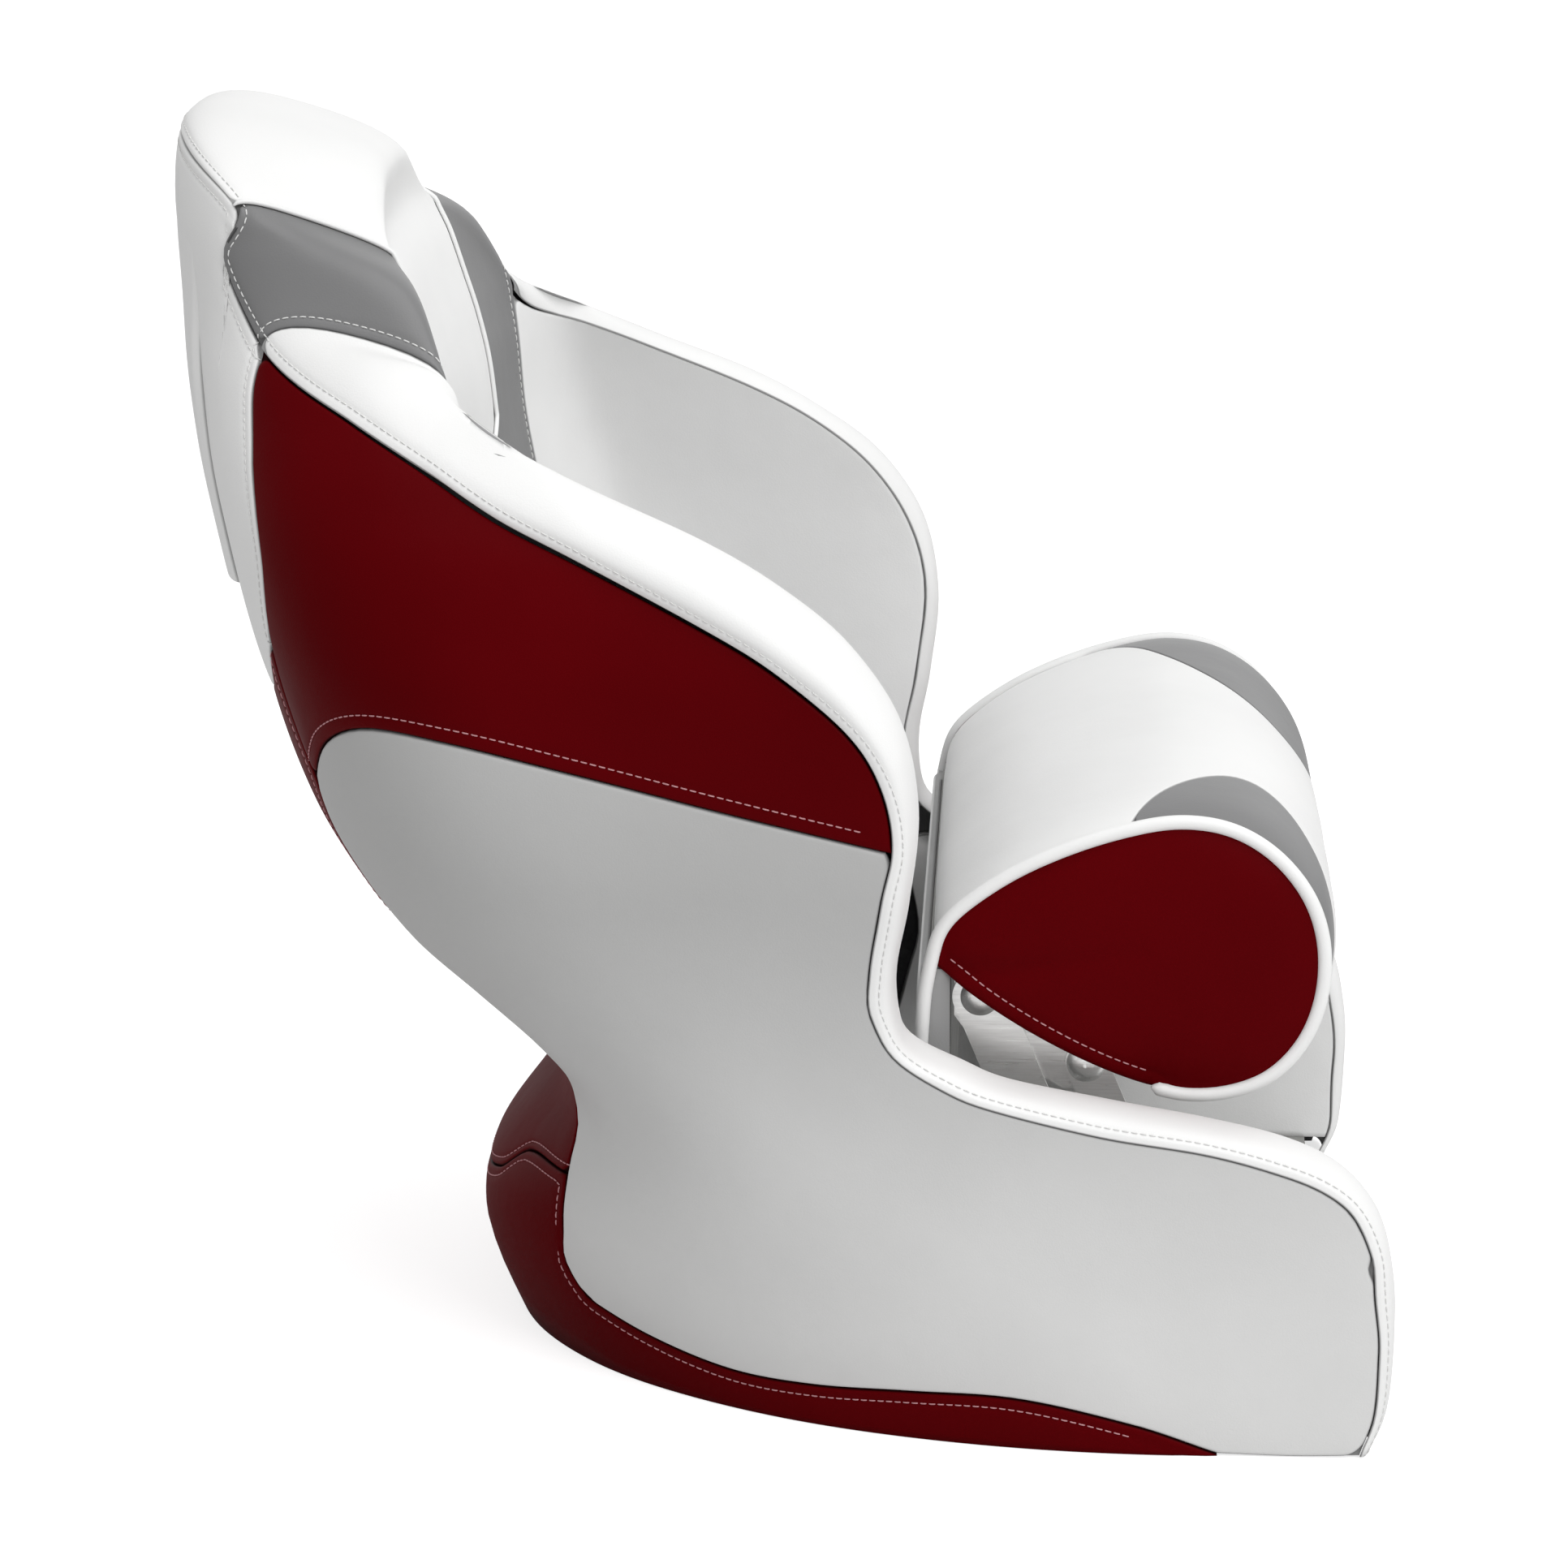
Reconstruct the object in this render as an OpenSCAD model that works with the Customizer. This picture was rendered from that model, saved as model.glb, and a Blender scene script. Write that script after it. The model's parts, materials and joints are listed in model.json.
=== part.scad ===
// Boat helm bucket seat with a flip-up front bolster.
// The seat faces -Y, +Z is up, and the origin is the middle of the mounting bolts on the underside.

/* [Overall] */
// Width across the wings
seat_w = 620; // [580:1:660]
// Height from the underside to the top of the headrest
seat_h = 716; // [690:1:760]
// Reach of the back behind the mounting centre
rear_reach = 475; // [455:1:500]
// Reach of the side panels in front of the mounting centre
front_reach = 236; // [225:1:260]

/* [Padding and shell] */
// Thickness of the padded outer panels
panel_t = 12; // [9:0.5:14]
// Wall of the moulded shell
shell_t = 12; // [9:0.5:14]
// Thickness of the raised pad on the rear of the back
rear_pad_t = 7; // [5:0.5:9]
// Gap left between layers that only touch
ease = 0.4; // [0.3:0.05:0.8]

/* [Base and mounting] */
// Thickness of the base board
base_board_t = 15; // [12:0.5:18]
// Side-to-side distance of the mounting bolts
mount_w = 304.8; // [250:0.1:330]
// Front-to-back distance of the mounting bolts
mount_d = 127; // [100:0.1:150]
// Bore of the threaded inserts
insert_bore = 6.4; // [5:0.1:8]
// Barrel diameter of the threaded inserts
insert_d = 9.6; // [9:0.1:12]
// Flange diameter of the threaded inserts
insert_flange_d = 20; // [16:0.5:24]
// Height of the moulded seat pan deck
pan_z = 140; // [130:1:148]
// Wall of the seat pan
pan_t = 10; // [8:0.5:12]
// Front of the seat pan and seat cushion
pan_front = 58; // [56:1:70]
// Height of the seat cushion above the pan at its front
cushion_t = 76; // [60:1:84]

/* [Bolster] */
// Gap between the bolster end piping and the side panel beside it
bolster_gap = 14; // [12:0.5:20]
// Diameter of the piping cord
piping_d = 8; // [6:0.5:9]
// Bulge of the red bolster ends past the piping
end_bulge = 9; // [5:0.5:10]
// Thickness of the bolster boards
bolster_board_t = 12; // [9:0.5:15]

/* [Bolster hardware] */
// Height of the flip pivot
pivot_z = 156; // [150:1:160]
// Place of the flip pivot in front of the mounting centre
pivot_front = 40; // [36:1:44]
// Pivot bolt diameter
pivot_d = 10; // [8:0.5:12]
// Thickness of the straps
strap_t = 3; // [2.5:0.5:4]
// Width of the rear strap
rear_strap_w = 31; // [26:1:34]
// Width of the front strap
front_strap_w = 24; // [20:1:27]
// Length of the rear strap between the pivot and its rivet
rear_strap_l = 95; // [90:1:98]
// Length of the front strap between its two rivets
front_strap_l = 49; // [44:1:52]
// Head diameter of the rivets
rivet_head_d = 22; // [18:0.5:24]
// Shank diameter of the rivets
rivet_d = 8; // [6:0.5:10]

/* [Hidden] */
$fn = 48;

white = [0.95, 0.95, 0.94];
pale = [0.86, 0.86, 0.85];
grey = [0.42, 0.42, 0.42];
red = [0.42, 0.02, 0.07];
metal = [0.78, 0.78, 0.76];
black = [0.12, 0.12, 0.13];
wood = [0.72, 0.58, 0.40];

// Form stations: height, half width, rear at the middle, where the corner starts, squareness
outer = [[0, 285, 276, -130, 2.1], [30, 285, 289, -110, 2.1], [60, 285, 296, -80, 2.15],
         [90, 285, 291, -40, 2.25], [120, 285, 268, 0, 2.5], [150, 285, 244, 40, 2.8],
         [180, 286, 246, 70, 3], [210, 288, 270, 100, 3], [240, 291, 305, 130, 2.9],
         [270, 295, 341, 160, 2.8], [300, 300, 365, 185, 2.7], [340, 307, 388, 210, 2.6],
         [408, 310, 412, 240, 2.6], [450, 306, 424, 260, 2.6], [500, 287, 436, 280, 2.6],
         [533, 260, 444, 290, 2.6], [573, 220, 452, 298, 2.6], [610, 183, 458, 308, 2.6],
         [660, 160, 465, 318, 2.6], [700, 142, 464, 318, 2.6], [735, 120, 455, 318, 2.6]];
inner = [[0, 240, 228, -130, 2.1], [60, 242, 250, -80, 2.2], [120, 243, 222, 0, 2.5],
         [150, 244, 200, 40, 2.8], [180, 244, 206, 70, 2.8], [210, 244, 222, 110, 2.7],
         [240, 245, 236, 150, 2.6], [270, 248, 246, 170, 2.6], [300, 252, 255, 185, 2.5],
         [340, 256, 266, 200, 2.5], [408, 259, 280, 220, 2.5], [450, 257, 288, 232, 2.5],
         [500, 248, 297, 244, 2.5], [545, 232, 303, 250, 2.5], [573, 214, 310, 258, 2.5],
         [593, 198, 317, 266, 2.5], [623, 168, 329, 282, 2.5], [650, 146, 343, 295, 2.5],
         [690, 125, 342, 300, 2.5], [735, 100, 350, 305, 2.5]];

// Sizes at which the tables are drawn, and the middle stretch of the seat that keeps its size
drawn_w = 620;
drawn_h = 716;
drawn_rear = 475;
drawn_front = 236;
kept_x = 120;
kept_y = 60;
kept_z = 300;
// Stretches that carry a change of an overall size through every padded form
function fit_x(x) = x + sign(x) * (seat_w - drawn_w) / 2 * min(1, abs(x) / kept_x);
function fit_y(y) = y > kept_y ? kept_y + (y - kept_y) * (rear_reach - kept_y) / (drawn_rear - kept_y)
    : y < -kept_y ? -kept_y + (y + kept_y) * (front_reach - kept_y) / (drawn_front - kept_y) : y;
function fit_z(z) = z > kept_z ? kept_z + (z - kept_z) * (seat_h - kept_z) / (drawn_h - kept_z) : z;
function fit(p) = [fit_x(p[0]), fit_y(p[1]), fit_z(p[2])];

// A smooth curve through the rows of a table, read at v in column c
function row_of(t, v, i = 0) = i >= len(t) - 2 || v < t[i + 1][0] ? i : row_of(t, v, i + 1);
function slope(t, i, c) = let (a = max(i - 1, 0), b = min(i + 1, len(t) - 1))
    (t[b][c] - t[a][c]) / (t[b][0] - t[a][0]);
function at(t, v, c) = let (i = row_of(t, v), h = t[i + 1][0] - t[i][0],
    s = min(max((v - t[i][0]) / h, 0), 1), s2 = s * s, s3 = s2 * s)
    (2 * s3 - 3 * s2 + 1) * t[i][c] + (s3 - 2 * s2 + s) * h * slope(t, i, c)
    + (3 * s2 - 2 * s3) * t[i + 1][c] + (s3 - s2) * h * slope(t, i + 1, c);

// A point of a form at girth q and height z: q = 0 is the middle of the rear, 1 the end of the
// corner, and past 1 the wall runs straight to the front
straight_to = -250;
function form(t, q, z) = let (w = at(t, z, 1), rear = at(t, z, 2), turn = at(t, z, 3), n = at(t, z, 4),
    a = min(abs(q), 1) * 90)
    [sign(q) * w * pow(sin(a), 2 / n),
     abs(q) > 1 ? turn + (abs(q) - 1) * (straight_to - turn) : turn + (rear - turn) * pow(cos(a), 2 / n),
     z];
// Girth of a point given by its half breadth x, or by its place y along the side
function by_x(t, x, z) = let (w = at(t, z, 1), n = at(t, z, 4))
    [sign(x) * asin(pow(min(abs(x) / w, 1), n / 2)) / 90, z];
function by_y(t, y, z) = let (rear = at(t, z, 2), turn = at(t, z, 3), n = at(t, z, 4))
    [y > turn ? acos(pow(min((y - turn) / (rear - turn), 1), n / 2)) / 90
              : 1 + (turn - y) / (turn - straight_to), z];
function seam_x(t, list) = [for (p = list) by_x(t, p[0], p[1])];
function seam_y(t, list) = [for (p = list) by_y(t, p[0], p[1])];
function flip(list) = [for (i = [len(list) - 1:-1:0]) list[i]];
function other(list) = [for (p = list) [-p[0], p[1]]];

// A smooth line through points, read by its share of the length
girth_mm = 350;
function step_of(p, q) = len(p) == 2 ? norm([(p[0] - q[0]) * girth_mm, p[1] - q[1]]) : norm(p - q);
function lengths(list, i = 0, sum = 0) = i >= len(list) ? []
    : let (s = i == 0 ? 0 : sum + max(step_of(list[i], list[i - 1]), 0.01))
      concat([s], lengths(list, i + 1, s));
function line(list) = let (l = lengths(list)) [for (i = [0:len(list) - 1]) concat([l[i]], list[i])];
function on(l, s) = [for (c = [1:len(l[0]) - 1]) at(l, s * l[len(l) - 1][0], c)];

// Evenly spread points on a line, and lines joined end to end
function sampled(list, n) = let (l = line(list)) [for (i = [0:n]) on(l, i / n)];
function joined(lists) = [for (k = [0:len(lists) - 1]) each
    [for (i = [k == 0 ? 0 : 1:len(lists[k]) - 1]) lists[k][i]]];

// A sheet spanned by four sampled lines: upper and lower run with u, first and last run with v
function sheet(upper, lower, first, last) = let (nu = len(upper) - 1, nv = len(first) - 1)
    [for (i = [0:nu]) [for (j = [0:nv]) let (u = i / nu, v = j / nv)
        (1 - v) * upper[i] + v * lower[i] + (1 - u) * first[j] + u * last[j]
        - (1 - u) * (1 - v) * upper[0] - u * (1 - v) * upper[nu] - (1 - u) * v * lower[0] - u * v * lower[nu]]];

// Unit normal of a form, outwards, and a sheet of girths and heights laid d inside its face
function out_of(t, q, z) = let (n = cross(form(t, q + 0.01, z) - form(t, q - 0.01, z),
    form(t, q, z + 2) - form(t, q, z - 2)), m = n / norm(n)) m * (form(t, q, z) - [0, 60, z]) < 0 ? -m : m;
function laid(t, sheet, d) = [for (row = sheet) [for (p = row)
    let (z = max(p[1], 0)) fit(form(t, p[0], z) - d * out_of(t, p[0], z))]];

// Unit normal of a sheet, turned away from the point centre
function normal(g, i, j, centre) = let (nu = len(g) - 1, nv = len(g[0]) - 1,
    ii = min(max(i, 1), nu - 1), jj = min(max(j, 1), nv - 1),
    n = cross(g[ii + 1][jj] - g[ii - 1][jj], g[ii][jj + 1] - g[ii][jj - 1]), m = n / norm(n))
    (m * (g[ii][jj] - [centre[0], centre[1], g[ii][jj][2] + centre[2]]) < 0 ? -m : m);
function sunk(g, d, centre = [0, 60, 0]) = [for (i = [0:len(g) - 1]) [for (j = [0:len(g[0]) - 1])
    g[i][j] - d * normal(g, i, j, centre)]];

// A closed solid between two sheets of the same grid
module slab(g, k) {
    nu = len(g) - 1;
    nv = len(g[0]) - 1;
    row = nv + 1;
    back = (nu + 1) * row;
    mu = floor(nu / 2);
    mv = floor(nv / 2);
    turn = cross(g[mu + 1][mv] - g[mu][mv], g[mu][mv + 1] - g[mu][mv]) * (g[mu][mv] - k[mu][mv]) > 0;
    quads = concat(
        [for (i = [0:nu - 1]) for (j = [0:nv - 1])
            [i * row + j, i * row + j + 1, (i + 1) * row + j + 1, (i + 1) * row + j]],
        [for (i = [0:nu - 1]) for (j = [0:nv - 1])
            [back + i * row + j, back + (i + 1) * row + j, back + (i + 1) * row + j + 1, back + i * row + j + 1]],
        [for (i = [0:nu - 1]) [i * row, (i + 1) * row, back + (i + 1) * row, back + i * row]],
        [for (i = [0:nu - 1]) [i * row + nv, back + i * row + nv, back + (i + 1) * row + nv, (i + 1) * row + nv]],
        [for (j = [0:nv - 1]) [j, back + j, back + j + 1, j + 1]],
        [for (j = [0:nv - 1]) [nu * row + j, nu * row + j + 1, back + nu * row + j + 1, back + nu * row + j]]);
    faces = [for (f = quads) each [[f[0], f[1], f[2]], [f[0], f[2], f[3]]]];
    polyhedron(points = concat([for (r = g) each r], [for (r = k) each r]),
               faces = turn ? faces : [for (f = faces) [f[2], f[1], f[0]]]);
}
module skin(t, sheet, from, to) {
    slab(laid(t, sheet, from), laid(t, sheet, to));
}

module left_to_right() {
    mirror([1, 0, 0]) children();
}

// Rim stations of the left half, from the middle of the headrest to the foot of the front edge.
// Rows 0 to 2 span the headrest, 2 to 4 the grey shoulder, 4 to 17 the wing and 17 on the lower rim.
rim_out = concat(seam_x(outer, [[0, 703], [70, 699], [131, 672], [140, 625], [169, 599]]),
    seam_y(outer, [[343, 568], [300, 546], [260, 524], [210, 502], [148, 472], [105, 447], [69, 417],
    [50, 386], [44, 352], [50, 320], [56, 280], [55, 253], [42, 229], [14, 210], [-14, 199], [-71, 185],
    [-127, 176], [-165, 166], [-193, 155], [-212, 138], [-222, 110], [-226, 70], [-225, 28], [-217, 1]]));
rim_crest = [[0, 410, 712], [62, 408, 706], [121, 388, 668], [150, 362, 645], [174, 345, 607],
    [192, 318, 594], [212, 282, 573], [240, 248, 555], [270, 209, 531], [287, 150, 504], [293, 106, 479],
    [296, 67, 450], [296, 40, 410], [293, 31, 362], [288, 36, 316], [281, 42, 278], [277, 41, 250],
    [273, 32, 232], [270, 6, 220], [269, -20, 209], [268, -75, 198], [267, -131, 188], [266, -173, 178],
    [266, -204, 163], [265, -225, 138], [264, -234, 104], [263, -236, 68], [262, -233, 24], [262, -224, 1]];
rim_in = concat(seam_x(inner, [[0, 672], [58, 670], [108, 640], [150, 612], [184, 574]]),
    seam_y(inner, [[283, 562], [269, 553], [250, 546], [210, 530], [149, 504], [106, 480], [71, 450],
    [48, 414], [38, 372], [43, 322], [51, 280], [49, 252], [39, 232], [11, 213], [-16, 202], [-73, 189],
    [-128, 179], [-168, 168], [-196, 155], [-214, 136], [-224, 108], [-228, 70], [-227, 28], [-218, 1]]));
// Foot of the bucket walls at the seat cushion, inside and outside, for rows 0 to 17
seat_line = 206;
wall_in = concat(seam_x(inner, [for (x = [0, 60, 108, 156, 200]) [x, seat_line]]),
    seam_y(inner, [for (y = [178, 160, 145, 128, 112, 100, 90, 82]) [y, seat_line]]),
    seam_y(inner, [[75, 209], [68, 214], [63, 220], [59, 225], [54, 229]]));
wall_out = concat(seam_x(outer, [[0, 283], [60, 283], [110, 281], [160, 280], [215, 280]]),
    seam_y(outer, [[215, 275], [190, 270], [170, 265], [150, 258], [130, 252], [115, 248], [102, 245],
    [90, 242], [80, 240], [72, 236], [66, 233], [60, 230], [52, 227]]));
function stations(list) = [for (i = [0:len(list) - 1]) concat([i], list[i])];
out_rows = stations(rim_out);
crest_rows = stations(rim_crest);
in_rows = stations(rim_in);
wall_in_rows = stations(wall_in);
wall_out_rows = stations(wall_out);
// Reads a station list at s, which is negative on the right half
function qz(rows, s) = [(s < 0 ? -1 : 1) * at(rows, abs(s), 1), at(rows, abs(s), 2)];
function crest(s) = [(s < 0 ? -1 : 1) * at(crest_rows, abs(s), 1), at(crest_rows, abs(s), 2), at(crest_rows, abs(s), 3)];
function mixed(a, b, t) = a * (1 - t) + b * t;
function out_wall(s, r) = let (p = mixed(qz(out_rows, s), qz(wall_out_rows, s), r)) form(outer, p[0], p[1]);
function in_wall(s, r) = let (p = mixed(qz(in_rows, s), qz(wall_in_rows, s), r)) form(inner, p[0], p[1]);
// A layer of the bucket wall: depth 0 is the outer face and 1 the inner face
function wall_layer(at_s, at_r, depth) = [for (s = at_s) [for (r = at_r)
    fit(mixed(out_wall(s, r), in_wall(s, r), depth))]];
// Stations at which every layer and rim is sampled, with a hairline between neighbours
hair = 0.02;
function steps(a, b) = [for (k = [0:2 * (b - a)]) k == 0 ? a + hair : k == 2 * (b - a) ? b - hair : a + k / 2];
rim_steps = concat(steps(4, 17), [for (s = [18:25]) s], [for (k = [1:9]) 25 + k / 3]);
wall_steps = [for (k = [-34:34]) k / 2];
wall_r = [0.007, 0.13, 0.25, 0.38, 0.59, 0.8, 1];
head_r = [wall_r[0], wall_r[1], wall_r[2], wall_r[3] - 0.002];
back_r = [wall_r[3] + 0.002, wall_r[4], wall_r[5], wall_r[6]];
function raised(at_r) = concat([-0.012], [for (i = [1:len(at_r) - 1]) at_r[i]]);
// The rounded top of the wall over a station: two quarter curves that meet at the crest
function quarter(a, b, up, t) = let (k = a + up * ((b - a) * up)) a * (1 - t) * (1 - t) + k * 2 * t * (1 - t) + b * t * t;
function cap_point(s, t) = let (p = qz(out_rows, s), q = qz(in_rows, s), o = form(outer, p[0], p[1]),
    i = form(inner, q[0], q[1]), c = crest(s), w = (i - o) / norm(i - o), m = c - (o + i) / 2,
    e = m - w * (m * w), up = e / norm(e))
    t < 0.5 ? quarter(o, c, up, 2 * t) : quarter(i, c, up, 2 - 2 * t);
function cap_chord(s, t, drop) = let (p = qz(out_rows, s), q = qz(in_rows, s), o = form(outer, p[0], p[1]),
    i = form(inner, q[0], q[1]), c = crest(s), w = (i - o) / norm(i - o), m = c - (o + i) / 2,
    e = m - w * (m * w)) mixed(o, i, 0.03 + 0.94 * t) - e / norm(e) * drop;
rim_lift = 1.6;
module cap(at_s, nt = 6) {
    slab([for (s = at_s) [for (j = [0:nt]) fit(cap_point(s, j / nt))]],
         [for (s = at_s) [for (j = [0:nt]) fit(cap_chord(s, j / nt, -rim_lift))]]);
}
// The share of the wall at which the shell ends and the inner pad starts
shell_to = 0.5;
pad_from = 0.509;
shell_gap = 4;
function wall_sunk(at_s, at_r, d) = [for (s = at_s) [for (r = at_r)
    let (p = mixed(qz(out_rows, s), qz(wall_out_rows, s), r))
    fit(form(outer, p[0], p[1]) - d * out_of(outer, p[0], p[1]))]];

// Seams of the left half, sampled so that panels that meet share their points
head_line = [for (k = [-8:8]) qz(out_rows, k / 2)];
wing_line = [for (k = [8:26]) qz(out_rows, k / 2)];
waist_line = [for (k = [26:34]) qz(out_rows, k / 2)];
rim_line = [for (s = [17:25]) qz(out_rows, s)];
front_line = [for (k = [0:9]) qz(out_rows, 25 + k / 3)];
strip_line = sampled(seam_x(outer, [[169, 599], [182, 577], [204, 546], [230, 496], [223, 445]]), 5);
back_low_line = sampled(seam_x(outer, [[-223, 445], [-174, 407], [0, 398], [174, 407], [223, 445]]), 16);
corner_line = sampled(seam_x(outer, [[223, 445], [214, 400], [212, 364]]), 2);
hem_line = sampled(concat(seam_x(outer, [[212, 364], [256, 396], [288, 411]]),
    seam_y(outer, [[283, 408], [217, 393], [131, 371], [44, 350]])), 18);
lip_side_line = sampled(seam_x(outer, [[212, 364], [194, 331], [190, 300], [196, 279]]), 2);
lip_line = sampled(seam_x(outer, [[-196, 279], [0, 283], [196, 279]]), 16);
hidden_line = sampled(seam_x(outer, [[196, 279], [137, 230], [131, 190], [157, 155], [173, 122]]), 4);
double_line = sampled(seam_x(outer, [[-173, 122], [-107, 115], [-75, 94], [0, 80], [75, 94], [107, 115],
    [173, 122]]), 16);
heel_line = sampled(seam_x(outer, [[173, 122], [175, 91], [169, 69], [173, 46]]), 3);
skirt_line = sampled(concat(seam_x(outer, [[173, 46], [201, 33]]),
    seam_y(outer, [[136, 24], [89, 24], [34, 28], [-26, 29], [-93, 16], [-138, 1]])), 20);
foot_line = sampled(concat(seam_y(outer, [[-138, 1], [-180, 0]]), [rim_out[28]]), 14);
floor_line = sampled(concat(seam_y(outer, [[-138, 0], [-80, 0], [0, 0], [100, 0]]),
    seam_x(outer, [[173, 0], [107, 0], [0, 0]])), 31);

lower_side_sheet = sheet(joined([hem_line, waist_line, rim_line]), joined([skirt_line, foot_line]),
    joined([lip_side_line, hidden_line, heel_line]), front_line);
lower_rear_sheet = sheet(lip_line, double_line, other(hidden_line), hidden_line);
module back_shell() {
    color(black) slab(wall_sunk(wall_steps, wall_r, panel_t + shell_gap), wall_layer(wall_steps, wall_r, shell_to));
}
// The lower walls of the shell stand on the base board and end under the bucket
shell_top = 214;
shell_foot = base_board_t + ease;
wall_rows = 7;
// Columns of a sheet read again between the foot of the shell and its top
function standing(columns, top, drop) = [for (c = columns) let (high = min(top, c[0][1] - drop))
    [for (k = [0:wall_rows]) let (z = mixed(high, shell_foot, k / wall_rows))
        [lookup(z, [for (p = c) [p[1], p[0]]]), z]]];
function held(g) = [for (row = g) [for (p = row) [p[0], p[1], min(max(p[2], shell_foot), shell_top)]]];
module wall(t, columns, from, to) {
    slab(held(laid(t, columns, from)), held(laid(t, columns, to)));
}
module shell_wall(grid, taken) {
    columns = standing([for (i = taken) grid[i]], shell_top - 24, 5);
    color(black) wall(outer, columns, panel_t + shell_gap, panel_t + shell_gap + shell_t);
}
side_columns = concat([for (i = [4:2:22]) i], [for (i = [26:2:34]) i]);
module left_side_shell() {
    shell_wall(lower_side_sheet, side_columns);
}
module right_side_shell() {
    left_to_right() shell_wall(lower_side_sheet, side_columns);
}
module rear_shell() {
    shell_wall(lower_rear_sheet, [2:14]);
}

// Padded outer panels
module panel(grid) {
    skin(outer, grid, 0, panel_t);
}
module red_side_panel() {
    meet = [for (i = [0:7]) mixed(wing_line[18], hem_line[18], i / 7)];
    color(red) panel(sheet(wing_line, hem_line, joined([strip_line, corner_line]), meet));
}
module left_red_side_panel() {
    red_side_panel();
}
module right_red_side_panel() {
    left_to_right() red_side_panel();
}
module left_lower_side_panel() {
    color(white) panel(lower_side_sheet);
}
module right_lower_side_panel() {
    left_to_right() left_lower_side_panel();
}
module lower_back_panel() {
    edge = joined([corner_line, lip_side_line]);
    color(red) panel(sheet(back_low_line, lip_line, other(edge), edge));
}
module lower_rear_panel() {
    color(red) panel(lower_rear_sheet);
}
module rear_skirt() {
    edge = [for (p = joined([heel_line, skirt_line])) [p[0] - 0.004, max(p[1] - 0.8, 0.4)]];
    upper = joined([flip(other(edge)), double_line, edge]);
    floor_ring = joined([other(floor_line), flip(floor_line)]);
    end = [for (i = [0:3]) mixed(edge[23], floor_line[0], i / 3)];
    color(red) panel(sheet(upper, floor_ring, other(end), end));
}
module rear_back_panel() {
    color(white) panel(sheet(head_line, back_low_line, other(strip_line), strip_line));
}
module rear_back_pad() {
    top = seam_x(outer, [[-112, 682], [-60, 694], [0, 697], [60, 694], [112, 682]]);
    side = sampled(seam_x(outer, [[112, 682], [108, 640], [112, 600], [128, 560], [138, 520], [140, 458]]), 8);
    foot = seam_x(outer, [[-140, 458], [-60, 450], [0, 449], [60, 450], [140, 458]]);
    pad = sheet(sampled(top, 12), sampled(foot, 12), other(side), side);
    flat = laid(outer, pad, -4 * ease);
    crowned = [for (i = [0:12]) [for (j = [0:8])
        let (r = min(1, 3.2 * min(i / 12, 1 - i / 12)) * min(1, 4 * min(j / 8, 1 - j / 8)))
        flat[i][j] + (1.5 + rear_pad_t * pow(r, 0.6)) * normal(flat, i, j, [0, 60, 0])]];
    color(white) slab(crowned, flat);
}

// Rolled rims, grey shoulders, headrest and the inner pads of the bucket
module rim_band() {
    color(white) cap(rim_steps);
}
module left_rim_band() {
    rim_band();
}
module right_rim_band() {
    left_to_right() rim_band();
}
module wing_pad() {
    color(white) slab(wall_layer(steps(4, 17), wall_r, 1), wall_layer(steps(4, 17), wall_r, pad_from));
}
module left_wing_pad() {
    wing_pad();
}
module right_wing_pad() {
    left_to_right() wing_pad();
}
module grey_panel() {
    color(grey) union() {
        cap(steps(2, 4));
        slab(wall_layer(steps(2, 4), raised(wall_r), 1), wall_layer(steps(2, 4), wall_r, pad_from));
    }
}
module left_grey_panel() {
    grey_panel();
}
module right_grey_panel() {
    left_to_right() grey_panel();
}
module headrest() {
    color(white) union() {
        cap(steps(-2, 2));
        slab(wall_layer(steps(-2, 2), raised(head_r), 1), wall_layer(steps(-2, 2), head_r, pad_from));
    }
}
module back_cushion() {
    color(grey) slab(wall_layer(steps(-2, 2), back_r, 1), wall_layer(steps(-2, 2), back_r, pad_from));
}

// Lining of the lower side walls beside the bolster
lining_t = 12;
module side_lining() {
    down = [for (k = [0:9]) qz(in_rows, 25 + k / 3)];
    along = [for (s = [17:25]) qz(in_rows, s)];
    rear = sampled(concat([along[0]], seam_y(inner, [[48, 190], [48, 120], [48, 1]])), 9);
    floor_edge = sampled(concat([rear[9]], seam_y(inner, [[-40, 1], [-130, 1]]), [down[9]]), 8);
    whole = sheet(along, floor_edge, rear, down);
    trimmed = [for (i = [0:8]) [for (p = whole[i]) [p[0] - (i == 8 ? 0.016 : 0), p[1]]]];
    color(pale) wall(inner, standing(trimmed, shell_top, 3), 0, -lining_t);
}
module left_side_lining() {
    side_lining();
}
module right_side_lining() {
    left_to_right() side_lining();
}

// Base board with the four threaded inserts that take the mounting bolts
wall_depth = panel_t + shell_gap + shell_t + 2;
function ring(t, z, d, y_from) = let (q0 = by_y(t, y_from, z)[0]) [for (i = [-20:20])
    let (q = q0 * i / 20, p = fit(form(t, q, z) - d * out_of(t, q, z))) [p[0], p[1]]];
board_front = -front_reach + 26;
module at_mounts() {
    for (sx = [-1, 1]) for (sy = [-1, 1]) translate([sx * mount_w / 2, sy * mount_d / 2, 0]) children();
}
module base_board() {
    color(wood) difference() {
        linear_extrude(base_board_t) polygon(ring(outer, 0, panel_t + 1.2 * ease, board_front));
        at_mounts() translate([0, 0, -1]) cylinder(d = insert_d, h = base_board_t + 2);
        at_bracket_screws() translate([0, 0, 1]) cylinder(d = screw_d, h = base_board_t);
    }
}
insert_flange_t = 1.6;
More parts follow.
